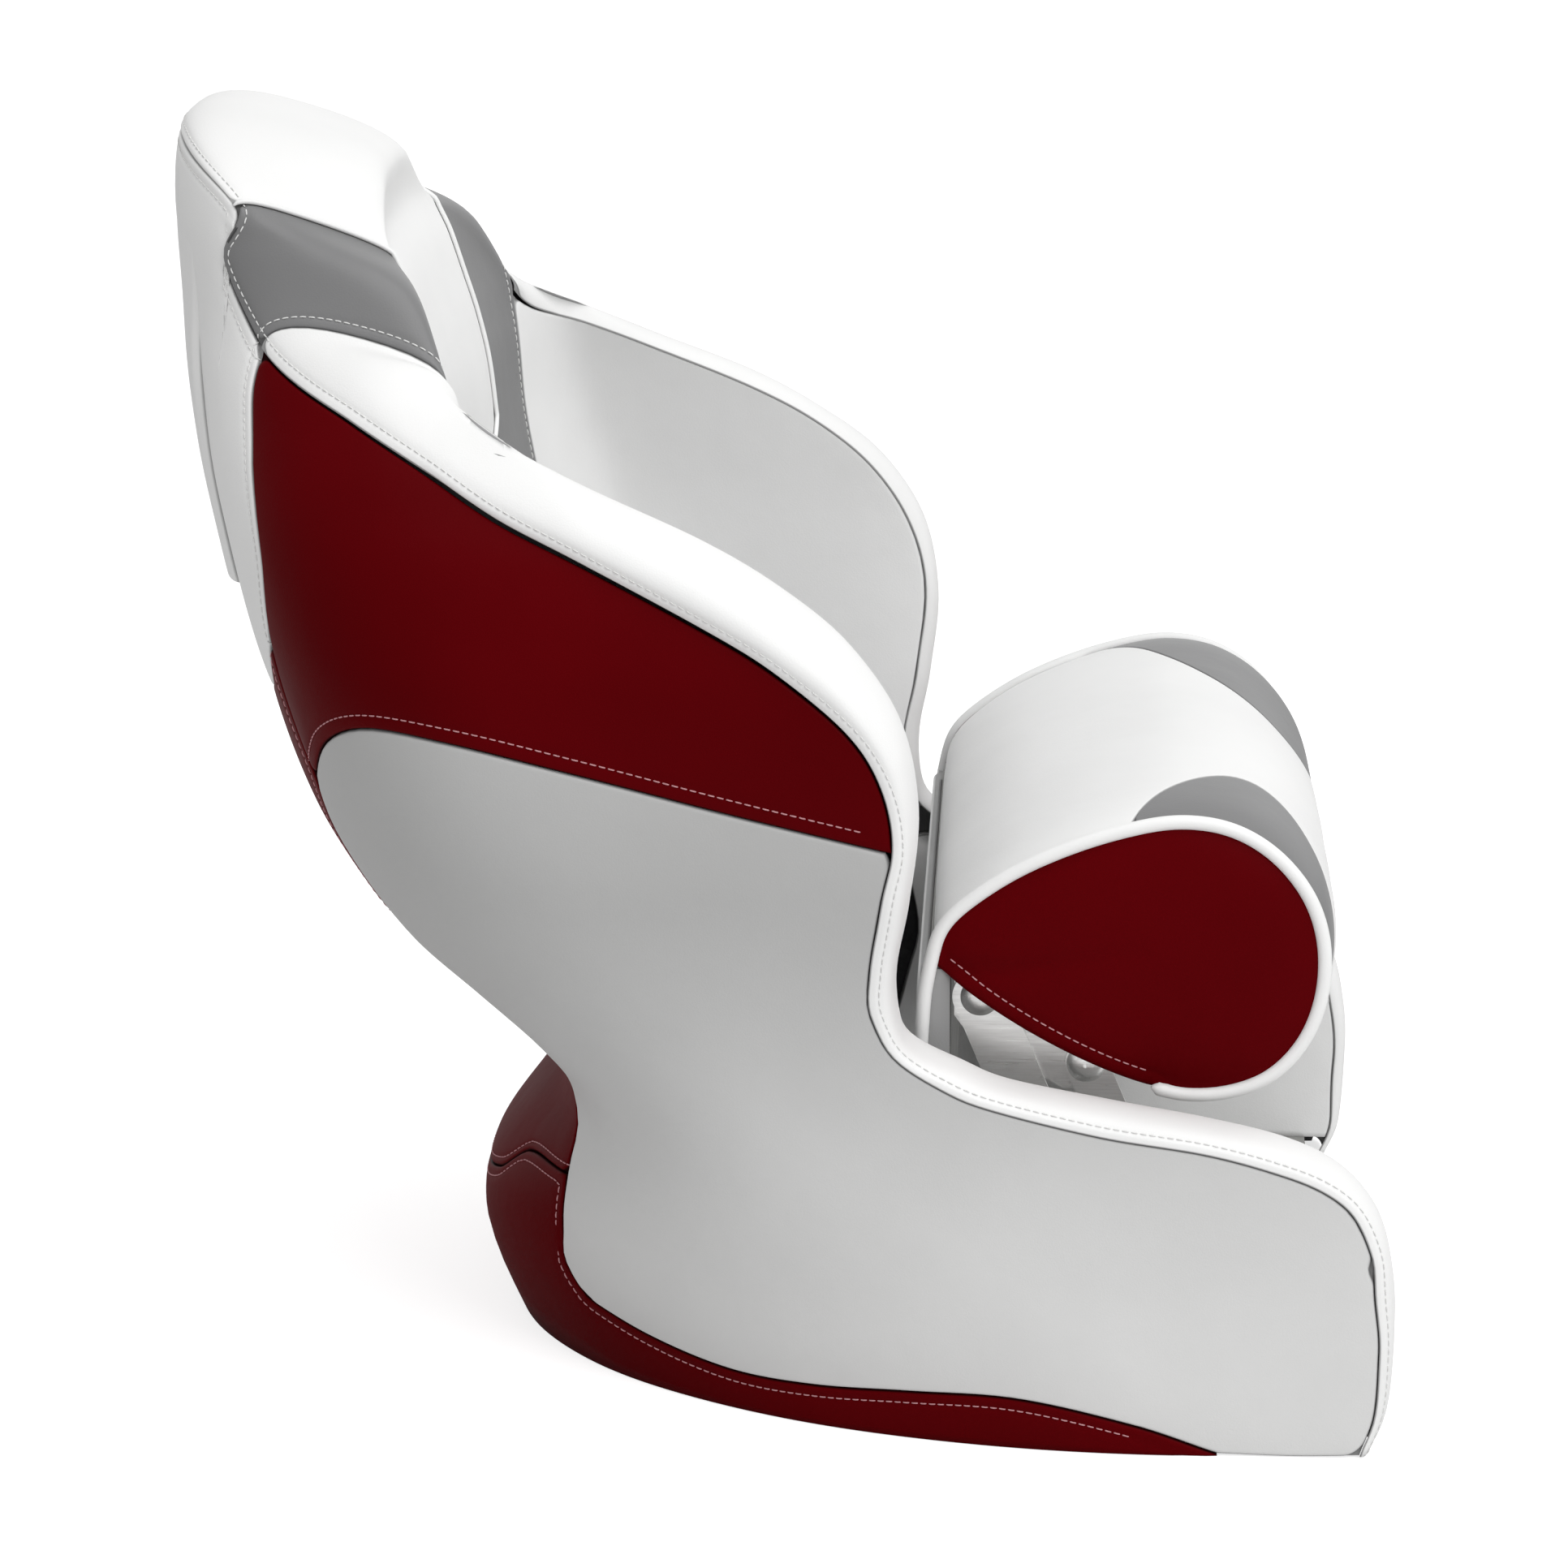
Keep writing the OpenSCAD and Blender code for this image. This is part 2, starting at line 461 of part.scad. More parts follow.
// Width kept free round each insert flange
insert_room_d = insert_flange_d + 4 * ease;
module threaded_inserts() {
    color(metal) at_mounts() difference() {
        union() {
            cylinder(d = insert_d, h = base_board_t);
            translate([0, 0, base_board_t]) cylinder(d = insert_flange_d, h = insert_flange_t);
        }
        translate([0, 0, -1]) cylinder(d = insert_bore, h = base_board_t + 10);
    }
}

// Moulded pan that carries the seat cushion, on a front and a rear wall
// Height kept free over the inserts for the ends of the mounting bolts
bolt_room = 25;
pan_wall = 222;
pan_rear_wall = 140;
pan_rear = 150;
module seat_pan() {
    plan = ring(outer, pan_z, wall_depth + 8, pan_front);
    wall_z = base_board_t + ease;
    color(black) {
        translate([0, 0, pan_z - pan_t]) linear_extrude(pan_t) polygon(plan);
        difference() {
            translate([-pan_wall, pan_front, wall_z]) cube([2 * pan_wall, pan_t, pan_z - pan_t / 2 - wall_z]);
            at_mounts() cylinder(d = insert_room_d, h = base_board_t + bolt_room);
        }
        translate([-pan_rear_wall, pan_rear, wall_z]) cube([2 * pan_rear_wall, pan_t, pan_z - pan_t / 2 - wall_z]);
    }
}
// Seat cushion with a crown, drawn-in edges and two sewn channels
cushion_fall = 6;
channel_u = 0.44;
function cushion_half(y) = let (rear = at(inner, seat_line, 2) - 2, turn = 90)
    242 * pow(1 - pow(max(y - turn, 0) / (rear - turn), 2.8), 1 / 2.8);
cushion_u = [-1, -0.985, -0.93, -0.75, -0.52, -channel_u, -0.36, -0.18, 0, 0.18, 0.36, channel_u, 0.52,
    0.75, 0.93, 0.985, 1];
cushion_v = [0, 0.012, 0.05, 0.2, 0.4, 0.6, 0.8, 0.94, 0.985, 1];
function cushion_top(u, v) = let (edge = min(1, (1 - abs(u)) / 0.12), ends = min(1, min(v, 1 - v) / 0.1),
    dip = abs(abs(u) - channel_u) < 0.01 ? 4 : 0)
    pan_z + cushion_t - cushion_fall * v - 14 * (1 - pow(edge, 0.4)) - 14 * (1 - pow(ends, 0.4)) - dip
    + 6 * (1 - u * u);
module seat_cushion() {
    y0 = pan_front + 1;
    y1 = at(inner, seat_line, 2) - 6;
    top = [for (u = cushion_u) [for (v = cushion_v) let (y = mixed(y0, y1, v), x = u * cushion_half(y))
        [fit_x(x), fit_y(y), cushion_top(u, v)]]];
    foot = [for (u = cushion_u) [for (v = cushion_v) let (y = mixed(y0 + 3, y1 - 20, v), x = 0.94 * u * cushion_half(y))
        [fit_x(x), fit_y(y), pan_z + ease]]];
    color(grey) slab(top, foot);
}

// Bolster: the outline of an end as place and height, from the rear tip over the crest to the hem
bolster_half = fit_x(244) - bolster_gap - piping_d / 2;
bolster_outline = [[24, 267], [19, 285], [8, 298], [-20, 318], [-51, 333], [-84, 344], [-113, 349], [-141, 345],
    [-165, 331], [-184, 308], [-193, 282], [-193, 252], [-184, 225], [-166, 204], [-143, 194], [-118, 192],
    [-100, 196]];
bolster_middle = [-95, 268];
hem_start = bolster_outline[0];
hem_end = bolster_outline[16];
hem_angle = atan2(hem_start[1] - hem_end[1], hem_start[0] - hem_end[0]);
hem_length = norm(hem_start - hem_end);
round_line = line(bolster_outline);
ring_n = 30;
bolster_ring = [for (i = [0:ring_n]) on(round_line, i / ring_n)];
hem_way = (hem_end - hem_start) / hem_length;
// The outline drawn in by d along its rounded part, with its hem left where it is
function drawn_in(d) = let (n = len(bolster_ring)) [for (i = [0:n - 1]) let (p = bolster_ring[i],
    t = bolster_ring[(i + 1) % n] - bolster_ring[(i + n - 1) % n], w = [t[1], -t[0]] / norm(t))
    i == 0 ? p + 1.15 * d * hem_way : i == ring_n ? p - 1.7 * d * hem_way
    : p - d * (w * (p - bolster_middle) > 0 ? w : -w)];
// A section at x: the outline grown about its middle, and swollen between its hem corners
function bolster_section(x, grow, d = 0, swell = 0) = let (ring = drawn_in(d)) [for (i = [0:len(ring) - 1])
    let (k = grow + swell * (i < ring_n ? sqrt(sin(180 * i / ring_n)) : 0), p = (ring[i] - bolster_middle) * k)
    [x, bolster_middle[0] + p[0], bolster_middle[1] + p[1]]];
// A closed solid through rings of the same count
module loft(rings) {
    n = len(rings[0]);
    m = len(rings) - 1;
    sides = [for (i = [0:m - 1]) for (j = [0:n - 1]) each [
        [i * n + j, (i + 1) * n + j, (i + 1) * n + (j + 1) % n],
        [i * n + j, (i + 1) * n + (j + 1) % n, i * n + (j + 1) % n]]];
    ends = concat([[for (j = [0:n - 1]) j]], [[for (j = [n - 1:-1:0]) m * n + j]]);
    polyhedron(points = [for (r = rings) each r], faces = concat(sides, ends));
}
bolster_crown = 0.125;
end_t = 4;
end_inset = piping_d / 2 + 0.6;
rear_pad_y = 34;
rear_board_y = 13;
rear_foot_z = 100;
pocket_in = bolster_half - 23;
module bolster_cushion() {
    half = bolster_half - end_t - ease;
    x_at = [-1, -0.985, -0.95, -0.87, -0.7, -0.35, 0, 0.35, 0.7, 0.87, 0.95, 0.985, 1];
    color(white) {
        difference() {
            loft([for (u = x_at) bolster_section(u * half, 0.97, 0,
                bolster_crown * (0.85 * (1 - pow(abs(u), 12)) + 0.15 * (1 - u * u)))]);
            translate([-board_half - ease, rear_board_y - ease, 150]) cube([2 * (board_half + ease), 30, 119]);
            for (side = [0, 1]) mirror([side, 0, 0]) translate([web_x - ease, rear_rivet[0] - 20, 228])
                cube([bolster_half - web_x, 33, 34]);
            lower_board_place() translate([-board_half - ease, -hem_length / 2 + 16 - ease, -20])
                cube([2 * (board_half + ease), lower_board_l + 2 * ease, 20 + bolster_board_t + ease]);
        }
    }
}
// Padded face on the back of the bolster, which becomes the front of the seat when it is flipped
module bolster_rear_pad() {
    y_in = rear_board_y + bolster_board_t + ease;
    pad_u = [-1, -0.94, -0.5, 0, 0.5, 0.94, 1];
    pad_v = [0, 0.06, 0.35, 0.65, 0.94, 1];
    function pad_at(u, v, y) = [u * (bolster_half - 1), y, mixed(rear_foot_z, 262, v)];
    color(white) slab([for (u = pad_u) [for (v = pad_v)
            pad_at(u, v, rear_pad_y - 5 * max(pow(abs(u), 8), pow(abs(2 * v - 1), 8)))]],
        [for (u = pad_u) [for (v = pad_v) pad_at(u, v, y_in)]]);
}
// Places a child on the hem line: x across, y up the line from its middle, z square to it
module lower_board_place() {
    mid = (hem_start + hem_end) / 2;
    translate([0, mid[0], mid[1]]) rotate([hem_angle, 0, 0]) children();
}
bracket_x = pocket_in + 1;
web_x = bracket_x + 4.5;
strap_x = web_x + strap_t;
board_half = bracket_x - 2;
module bolster_rear_board() {
    color(wood) translate([-board_half, rear_board_y, rear_foot_z]) cube([2 * board_half, bolster_board_t, 168]);
}
lower_board_l = 108;
module bolster_lower_board() {
    color(wood) lower_board_place() difference() {
        translate([-board_half, -hem_length / 2 + 16, 0]) cube([2 * board_half, lower_board_l, bolster_board_t]);
        at_flange_screws() translate([0, 0, -1]) cylinder(d = screw_d, h = 10);
    }
}
module bolster_end() {
    rings = [for (k = [0:4]) let (r = cos(k * 19), h = end_bulge * sin(k * 19))
        bolster_section(bolster_half + h, r, end_inset)];
    color(red) loft(concat([bolster_section(bolster_half - end_t, 1, end_inset + 0.4)], rings));
}
module left_bolster_end() {
    bolster_end();
}
module right_bolster_end() {
    left_to_right() bolster_end();
}
module bolster_piping() {
    c = [for (i = [0:ring_n]) bolster_section(bolster_half, 1)[i]];
    n = len(c);
    sides = 6;
    rings = [for (i = [0:n - 1]) let (tangent = c[min(i + 1, n - 1)] - c[max(i - 1, 0)],
        side = [1, 0, 0], up = cross(tangent / norm(tangent), side))
        [for (k = [0:sides - 1]) c[i] + piping_d / 2 * (cos(k * 360 / sides) * side + sin(k * 360 / sides) * up)]];
    color(white) loft(rings);
}
module left_bolster_piping() {
    bolster_piping();
}
module right_bolster_piping() {
    left_to_right() bolster_piping();
}

// Flip hardware. Plates stand in the plane of place and height; plate() lays one x thick at x0.
pivot = [-pivot_front, pivot_z];
lean = atan2(87.7, 36.6);
strap_way = [cos(lean), sin(lean)];
rear_rivet = pivot + rear_strap_l * strap_way;
hub_rivet = pivot + [-42, 4.5];
front_rivet = hub_rivet + front_strap_l * strap_way;
hole_play = 0.16;
module plate(x0, t) {
    translate([x0, 0, 0]) rotate([90, 0, 90]) linear_extrude(t) children();
}
module stadium(a, b, w) {
    way = b - a;
    translate(a) circle(d = w);
    translate(b) circle(d = w);
    translate(a) rotate(atan2(way[1], way[0])) translate([0, -0.495 * w]) square([norm(way), 0.99 * w]);
}
module hole(p, d) {
    translate(p) circle(d = d);
}
bracket_t = 4;
foot_w = 84;
module base_bracket() {
    z0 = base_board_t;
    color(metal) difference() {
        union() {
            plate(bracket_x, bracket_t) {
                polygon([[pivot[0] - foot_w / 2, z0], [pivot[0] + foot_w / 2, z0], [pivot[0] + 17, pivot_z - 6],
                    [pivot[0] - 17, pivot_z - 6]]);
                translate(pivot) circle(r = 18);
            }
            translate([bracket_x - 34, pivot[0] - foot_w / 2, z0]) cube([36, foot_w, bracket_t]);
        }
        plate(bracket_x - 1, bracket_t + 2) hole(pivot, pivot_d + hole_play);
        at_bracket_screws() translate([0, 0, z0 - 1]) cylinder(d = screw_d + hole_play, h = 10);
        at_mounts() cylinder(d = insert_room_d, h = base_board_t + bolt_room);
    }
}
module left_base_bracket() {
    base_bracket();
}
module right_base_bracket() {
    left_to_right() base_bracket();
}
screw_d = 5;
screw_l = 11;
module at_bracket_screws() {
    for (sx = [-1, 1]) for (y = [-30, 0, 30]) translate([sx * (bracket_x - 18), pivot[0] + y, 0]) children();
}
module screw() {
    translate([0, 0, -screw_l]) cylinder(d = screw_d - 0.3, h = screw_l);
    cylinder(d1 = screw_d * 2, d2 = screw_d * 1.3, h = 2.6);
}
module bracket_screws() {
    color(metal) at_bracket_screws() translate([0, 0, base_board_t + bracket_t]) screw();
}
module pivot_bolt() {
    rotate([0, 90, 0]) {
        translate([0, 0, bracket_x - 4]) cylinder(d = pivot_d, h = strap_x + strap_t + 3 - bracket_x + 4);
        translate([0, 0, bracket_x - 7.2]) cylinder(d = pivot_d * 1.9, h = 7, $fn = 6);
        translate([0, 0, strap_x + strap_t + 0.3]) cylinder(d = pivot_d * 1.8, h = 5);
    }
}
module pivot_bolts() {
    color(metal) for (side = [0, 1]) mirror([side, 0, 0]) translate([0, pivot[0], pivot[1]]) pivot_bolt();
}
module hub_plate() {
    color(metal) plate(web_x, strap_t) difference() {
        stadium(pivot, hub_rivet, 27);
        hole(pivot, pivot_d + hole_play);
        hole(hub_rivet, rivet_d + hole_play);
    }
}
module left_hub_plate() {
    hub_plate();
}
module right_hub_plate() {
    left_to_right() hub_plate();
}
module rear_strap() {
    color(metal) plate(strap_x, strap_t) difference() {
        stadium(pivot, rear_rivet, rear_strap_w);
        hole(pivot, pivot_d + hole_play);
        hole(rear_rivet, rivet_d + hole_play);
    }
}
module left_rear_strap() {
    rear_strap();
}
module right_rear_strap() {
    left_to_right() rear_strap();
}
module front_strap() {
    color(metal) plate(strap_x, strap_t) difference() {
        stadium(hub_rivet, front_rivet, front_strap_w);
        hole(hub_rivet, rivet_d + hole_play);
        hole(front_rivet, rivet_d + hole_play);
    }
}
module left_front_strap() {
    front_strap();
}
module right_front_strap() {
    left_to_right() front_strap();
}
module at_flange_screws() {
    for (sx = [-1, 1]) for (y = [-24, 6, 36]) translate([sx * (bracket_x - 14), y, 0]) children();
}
flange_t = 3;
module bolster_bracket() {
    h = function (y) hem_end[1] + (y - hem_end[0]) * tan(hem_angle) - ease;
    color(metal) union() {
        plate(web_x, strap_t) difference() {
            polygon([[11, h(11)], [11, 232], [4, 222], [-50, 190], [-72, 190], [-78, 198], [-78, h(-78)]]);
            hole(rear_rivet, rivet_d + hole_play);
            hole(front_rivet, rivet_d + hole_play);
        }
        lower_board_place() difference() {
            translate([bracket_x - 26, -42, -flange_t - ease])
                cube([web_x - bracket_x + 26.2, 92, flange_t]);
            at_flange_screws() translate([0, 0, -8]) cylinder(d = screw_d + hole_play, h = 10);
        }
    }
}
module left_bolster_bracket() {
    bolster_bracket();
}
module right_bolster_bracket() {
    left_to_right() bolster_bracket();
}
module bolster_screws() {
    color(metal) lower_board_place() at_flange_screws() translate([0, 0, -flange_t - ease]) mirror([0, 0, 1]) screw_up();
}
module screw_up() {
    translate([0, 0, -9]) cylinder(d = screw_d - 0.3, h = 9);
    cylinder(d1 = screw_d * 2, d2 = screw_d * 1.3, h = 2.6);
}
head_h = 5.5;
module rivet(x0) {
    rotate([0, 90, 0]) {
        translate([0, 0, x0]) cylinder(d = rivet_d, h = strap_x + strap_t - x0);
        translate([0, 0, strap_x + strap_t]) rotate_extrude() {
            r = (pow(rivet_head_d / 2, 2) + head_h * head_h) / (2 * head_h);
            intersection() {
                translate([0, head_h - r]) circle(r = r, $fn = 96);
                square([rivet_head_d / 2, head_h]);
            }
        }
    }
}
module strap_rivets() {
    color(metal) for (side = [0, 1]) mirror([side, 0, 0])
        for (p = [rear_rivet, front_rivet, hub_rivet]) translate([0, p[0], p[1]]) rivet(web_x + 0.3);
}

base_board();
threaded_inserts();
seat_pan();
back_shell();
right_side_shell();
left_side_shell();
rear_shell();
rear_skirt();
lower_rear_panel();
lower_back_panel();
rear_back_panel();
rear_back_pad();
right_red_side_panel();
left_red_side_panel();
right_lower_side_panel();
left_lower_side_panel();
right_rim_band();
left_rim_band();
right_side_lining();
left_side_lining();
right_wing_pad();
left_wing_pad();
right_grey_panel();
left_grey_panel();
headrest();
back_cushion();
seat_cushion();
right_base_bracket();
left_base_bracket();
bracket_screws();
pivot_bolts();
bolster_cushion();
bolster_rear_pad();
bolster_rear_board();
bolster_lower_board();
right_bolster_end();
left_bolster_end();
right_bolster_piping();
left_bolster_piping();
right_bolster_bracket();
left_bolster_bracket();
right_rear_strap();
left_rear_strap();
right_front_strap();
left_front_strap();
right_hub_plate();
left_hub_plate();
strap_rivets();
bolster_screws();
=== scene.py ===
import json
import bpy
import mathutils
import numpy as np
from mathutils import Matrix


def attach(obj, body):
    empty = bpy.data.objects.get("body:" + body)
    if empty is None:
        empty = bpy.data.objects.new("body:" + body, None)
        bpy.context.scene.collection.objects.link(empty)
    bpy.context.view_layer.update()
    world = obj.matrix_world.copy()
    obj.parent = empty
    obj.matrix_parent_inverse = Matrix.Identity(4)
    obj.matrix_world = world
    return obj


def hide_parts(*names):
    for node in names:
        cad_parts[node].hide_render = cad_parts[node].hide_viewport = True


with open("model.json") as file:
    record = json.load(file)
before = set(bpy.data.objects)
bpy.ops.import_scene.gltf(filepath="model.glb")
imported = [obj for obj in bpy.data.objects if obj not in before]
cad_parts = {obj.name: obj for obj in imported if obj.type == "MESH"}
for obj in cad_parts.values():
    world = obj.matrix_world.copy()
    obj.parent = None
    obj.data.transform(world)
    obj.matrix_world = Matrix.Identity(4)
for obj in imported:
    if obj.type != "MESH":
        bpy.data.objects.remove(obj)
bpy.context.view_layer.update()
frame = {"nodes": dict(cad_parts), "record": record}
print("frame loaded:", len(frame["nodes"]), "nodes")

# The forms below are in millimetres, as in the part's own source, and meshes are written in metres.
milli = 0.001

# Height, half width, rear at the middle, where the corner starts, squareness
outerForm = np.array([
    [0, 285, 276, -130, 2.1], [30, 285, 289, -110, 2.1], [60, 285, 296, -80, 2.15],
    [90, 285, 291, -40, 2.25], [120, 285, 268, 0, 2.5], [150, 285, 244, 40, 2.8],
    [180, 286, 246, 70, 3], [210, 288, 270, 100, 3], [240, 291, 305, 130, 2.9],
    [270, 295, 341, 160, 2.8], [300, 300, 365, 185, 2.7], [340, 307, 388, 210, 2.6],
    [408, 310, 412, 240, 2.6], [450, 306, 424, 260, 2.6], [500, 287, 436, 280, 2.6],
    [533, 260, 444, 290, 2.6], [573, 220, 452, 298, 2.6], [610, 183, 458, 308, 2.6],
    [660, 160, 465, 318, 2.6], [700, 142, 464, 318, 2.6], [735, 120, 455, 318, 2.6]], float)
innerForm = np.array([
    [0, 240, 228, -130, 2.1], [60, 242, 250, -80, 2.2], [120, 243, 222, 0, 2.5],
    [150, 244, 200, 40, 2.8], [180, 244, 206, 70, 2.8], [210, 244, 222, 110, 2.7],
    [240, 245, 236, 150, 2.6], [270, 248, 246, 170, 2.6], [300, 252, 255, 185, 2.5],
    [340, 256, 266, 200, 2.5], [408, 259, 280, 220, 2.5], [450, 257, 288, 232, 2.5],
    [500, 248, 297, 244, 2.5], [545, 232, 303, 250, 2.5], [573, 214, 310, 258, 2.5],
    [593, 198, 317, 266, 2.5], [623, 168, 329, 282, 2.5], [650, 146, 343, 295, 2.5],
    [690, 125, 342, 300, 2.5], [735, 100, 350, 305, 2.5]], float)
girthSize = 350
# Place of the upright line that faces of the bucket look away from or towards
middleY = 60


# Smooth cubic through the rows of a table, read at v; the first column says where each row lies
def readTable(table, v):
    x = table[:, 0]
    v = np.asarray(v, float)
    i = np.clip(np.searchsorted(x, v, side="right") - 1, 0, len(x) - 2)
    h = (x[i + 1] - x[i])[..., None]
    s = np.clip((v - x[i])[..., None] / h, 0, 1)

    def slope(k):
        a, b = np.maximum(k - 1, 0), np.minimum(k + 1, len(x) - 1)
        return (table[b, 1:] - table[a, 1:]) / (x[b] - x[a])[..., None]

    return ((2 * s**3 - 3 * s**2 + 1) * table[i, 1:] + (s**3 - 2 * s**2 + s) * h * slope(i)
            + (3 * s**2 - 2 * s**3) * table[i + 1, 1:] + (s**3 - s**2) * h * slope(i + 1))


def columnsAt(table, v):
    return np.moveaxis(readTable(table, v), -1, 0)


def unit(v, least=0.0):
    return v / (np.linalg.norm(v, axis=-1, keepdims=True) + least)


# Lengths along a line, from its first point to each of its points
def runLengths(points):
    return np.concatenate([[0], np.cumsum(np.linalg.norm(np.diff(points, axis=0), axis=1))])


cornerAngles = (1 - np.cos(np.linspace(0, np.pi, 49))) * np.pi / 4


# Lengths along a superellipse corner, from the middle of the rear to each of the angles above
def cornerLengths(w, depth, n):
    power = 2 / n[..., None]
    x = w[..., None] * np.sin(cornerAngles)**power
    y = depth[..., None] * np.maximum(np.cos(cornerAngles), 0)**power
    return np.concatenate([0 * x[..., :1], np.cumsum(np.hypot(np.diff(x), np.diff(y)), -1)], -1)


# A point of a form at girth q and height z: girthSize * q is the length from the middle of the rear,
# first round the corner and then along the straight side
def formPoint(form, q, z):
    w, rear, turn, n = columnsAt(form, z)
    q, w, rear, turn, n = np.broadcast_arrays(q, w, rear, turn, n)
    lengths = cornerLengths(w, rear - turn, n)
    at = np.abs(q) * girthSize
    k = np.clip(np.sum(lengths <= at[..., None], -1) - 1, 0, len(cornerAngles) - 2)
    low = np.take_along_axis(lengths, k[..., None], -1)[..., 0]
    high = np.take_along_axis(lengths, k[..., None] + 1, -1)[..., 0]
    share = np.clip((at - low) / (high - low), 0, 1)
    a = cornerAngles[k] + (cornerAngles[k + 1] - cornerAngles[k]) * share
    x = np.sign(q) * w * np.sin(a)**(2 / n)
    y = turn + (rear - turn) * np.maximum(np.cos(a), 0)**(2 / n) - np.maximum(at - lengths[..., -1], 0)
    return np.stack([x, y, np.broadcast_to(z, x.shape)], -1)


# Outward unit normal of a form, from central differences along girth and height
def formNormal(form, q, z):
    n = unit(np.cross(formPoint(form, q + 0.01, z) - formPoint(form, q - 0.01, z),
                      formPoint(form, q, z + 2) - formPoint(form, q, z - 2)), 1e-12)
    p = formPoint(form, q, z)
    out = np.sum(n * (p - np.stack([0 * p[..., 0], middleY + 0 * p[..., 0], p[..., 2]], -1)), -1)
    return np.where(out[..., None] < 0, -n, n)


# Length round a corner up to an angle, for rows of points
def lengthTo(a, w, depth, n):
    lengths = cornerLengths(w, depth, n)
    return np.array([np.interp(angle, cornerAngles, row) for angle, row in zip(a, lengths)])


# Girth of points given by their half breadth, or by their place along the side
def byX(form, rows):
    rows = np.array(rows, float)
    w, rear, turn, n = columnsAt(form, rows[:, 1])
    a = np.arcsin(np.minimum(np.abs(rows[:, 0]) / w, 1)**(n / 2))
    q = lengthTo(a, w, rear - turn, n) / girthSize
    return np.stack([np.sign(rows[:, 0]) * q, rows[:, 1]], -1)


def byY(form, rows):
    rows = np.array(rows, float)
    w, rear, turn, n = columnsAt(form, rows[:, 1])
    y = rows[:, 0]
    a = np.arccos(np.clip((y - turn) / (rear - turn), 0, 1)**(n / 2))
    return np.stack([(lengthTo(a, w, rear - turn, n) + np.maximum(turn - y, 0)) / girthSize, rows[:, 1]], -1)


# Rim stations of the left half, from the middle of the headrest to the foot of the front edge. Six have
# names: the headrest's end, the shoulder, the ends of the red panel, the wing and the arm, and the foot
headEnd, shoulder, redEnd, wingEnd, armEnd, frontFoot = 2, 4, 13, 17, 25, 28
rimOuter = np.concatenate([
    byX(outerForm, [[0, 703], [70, 699], [131, 672], [133, 640], [169, 599]]),
    byY(outerForm, [[343, 568], [300, 546], [260, 524], [210, 502], [148, 472], [105, 447], [69, 417],
                    [50, 386], [44, 352], [50, 320], [56, 280], [55, 253], [42, 229], [14, 210],
                    [-14, 199], [-71, 185], [-127, 176], [-165, 166], [-193, 155], [-212, 138],
                    [-222, 110], [-226, 70], [-225, 28], [-217, 1]])])
rimCrest = np.array([
    [0, 410, 712], [62, 408, 706], [121, 388, 668], [150, 362, 645], [174, 345, 607],
    [192, 318, 594], [212, 282, 573], [240, 248, 555], [270, 209, 531], [287, 150, 504],
    [293, 106, 479], [296, 67, 450], [296, 40, 410], [293, 31, 362], [288, 36, 316],
    [281, 42, 278], [277, 41, 250], [273, 32, 232], [270, 6, 220], [269, -20, 209],
    [268, -75, 198], [267, -131, 188], [266, -173, 178], [266, -204, 163], [265, -225, 138],
    [264, -234, 104], [263, -236, 68], [262, -233, 24], [262, -224, 1]], float)
rimInner = np.concatenate([
    byX(innerForm, [[0, 672], [58, 670], [108, 640], [150, 612], [184, 574]]),
    byY(innerForm, [[283, 562], [269, 553], [250, 546], [210, 530], [149, 504], [106, 480], [71, 450],
                    [48, 414], [38, 372], [43, 322], [51, 280], [49, 252], [39, 232], [11, 213],
                    [-16, 202], [-73, 189], [-128, 179], [-168, 168], [-196, 155], [-214, 136],
                    [-224, 108], [-228, 70], [-227, 28], [-218, 1]])])
seatLine = 206
wallInner = np.concatenate([
    byX(innerForm, [[x, seatLine] for x in (0, 60, 108, 156, 200)]),
    byY(innerForm, [[y, seatLine] for y in (178, 160, 145, 128, 112, 100, 90, 82)]),
    byY(innerForm, [[75, 209], [68, 214], [63, 220], [59, 225], [54, 229]])])


# Both halves of a station list in one table, so that it runs smoothly over the middle
def bothHalves(rows):
    flipped = rows[:0:-1].copy()
    flipped[:, 0] *= -1
    rows = np.concatenate([flipped, rows])
    count = len(rows) // 2
    return np.column_stack([np.arange(-count, count + 1), rows])


outerStations, crestStations = bothHalves(rimOuter), bothHalves(rimCrest)
innerStations, wallStations = bothHalves(rimInner), bothHalves(wallInner)


# The rolled rim over station s: two quarter curves from the outer seam (t = 0) over the crest to t = 1
def capPoint(s, t):
    s, t = np.broadcast_arrays(np.asarray(s, float), np.asarray(t, float))
    o = formPoint(outerForm, *columnsAt(outerStations, s))
    i = formPoint(innerForm, *columnsAt(innerStations, s))
    crest = readTable(crestStations, s)
    w = unit(i - o)
    m = crest - (o + i) / 2
    up = unit(m - w * np.sum(m * w, -1, keepdims=True))

    def quarter(a, k):
        corner = a + up * np.sum((crest - a) * up, -1, keepdims=True)
        return a * (1 - k)**2 + corner * 2 * k * (1 - k) + crest * k**2

    t = t[..., None]
    return np.where(t < 0.5, quarter(o, np.minimum(2 * t, 1)), quarter(i, np.minimum(2 - 2 * t, 1)))


# The inner face of the bucket between the rim (r = 0) and the seat (r = 1)
def wallPoint(s, r):
    s, r = np.broadcast_arrays(np.asarray(s, float), np.asarray(r, float))
    top, foot = readTable(innerStations, s), readTable(wallStations, s)
    q, z = np.moveaxis(top * (1 - r[..., None]) + foot * r[..., None], -1, 0)
    return formPoint(innerForm, q, z)


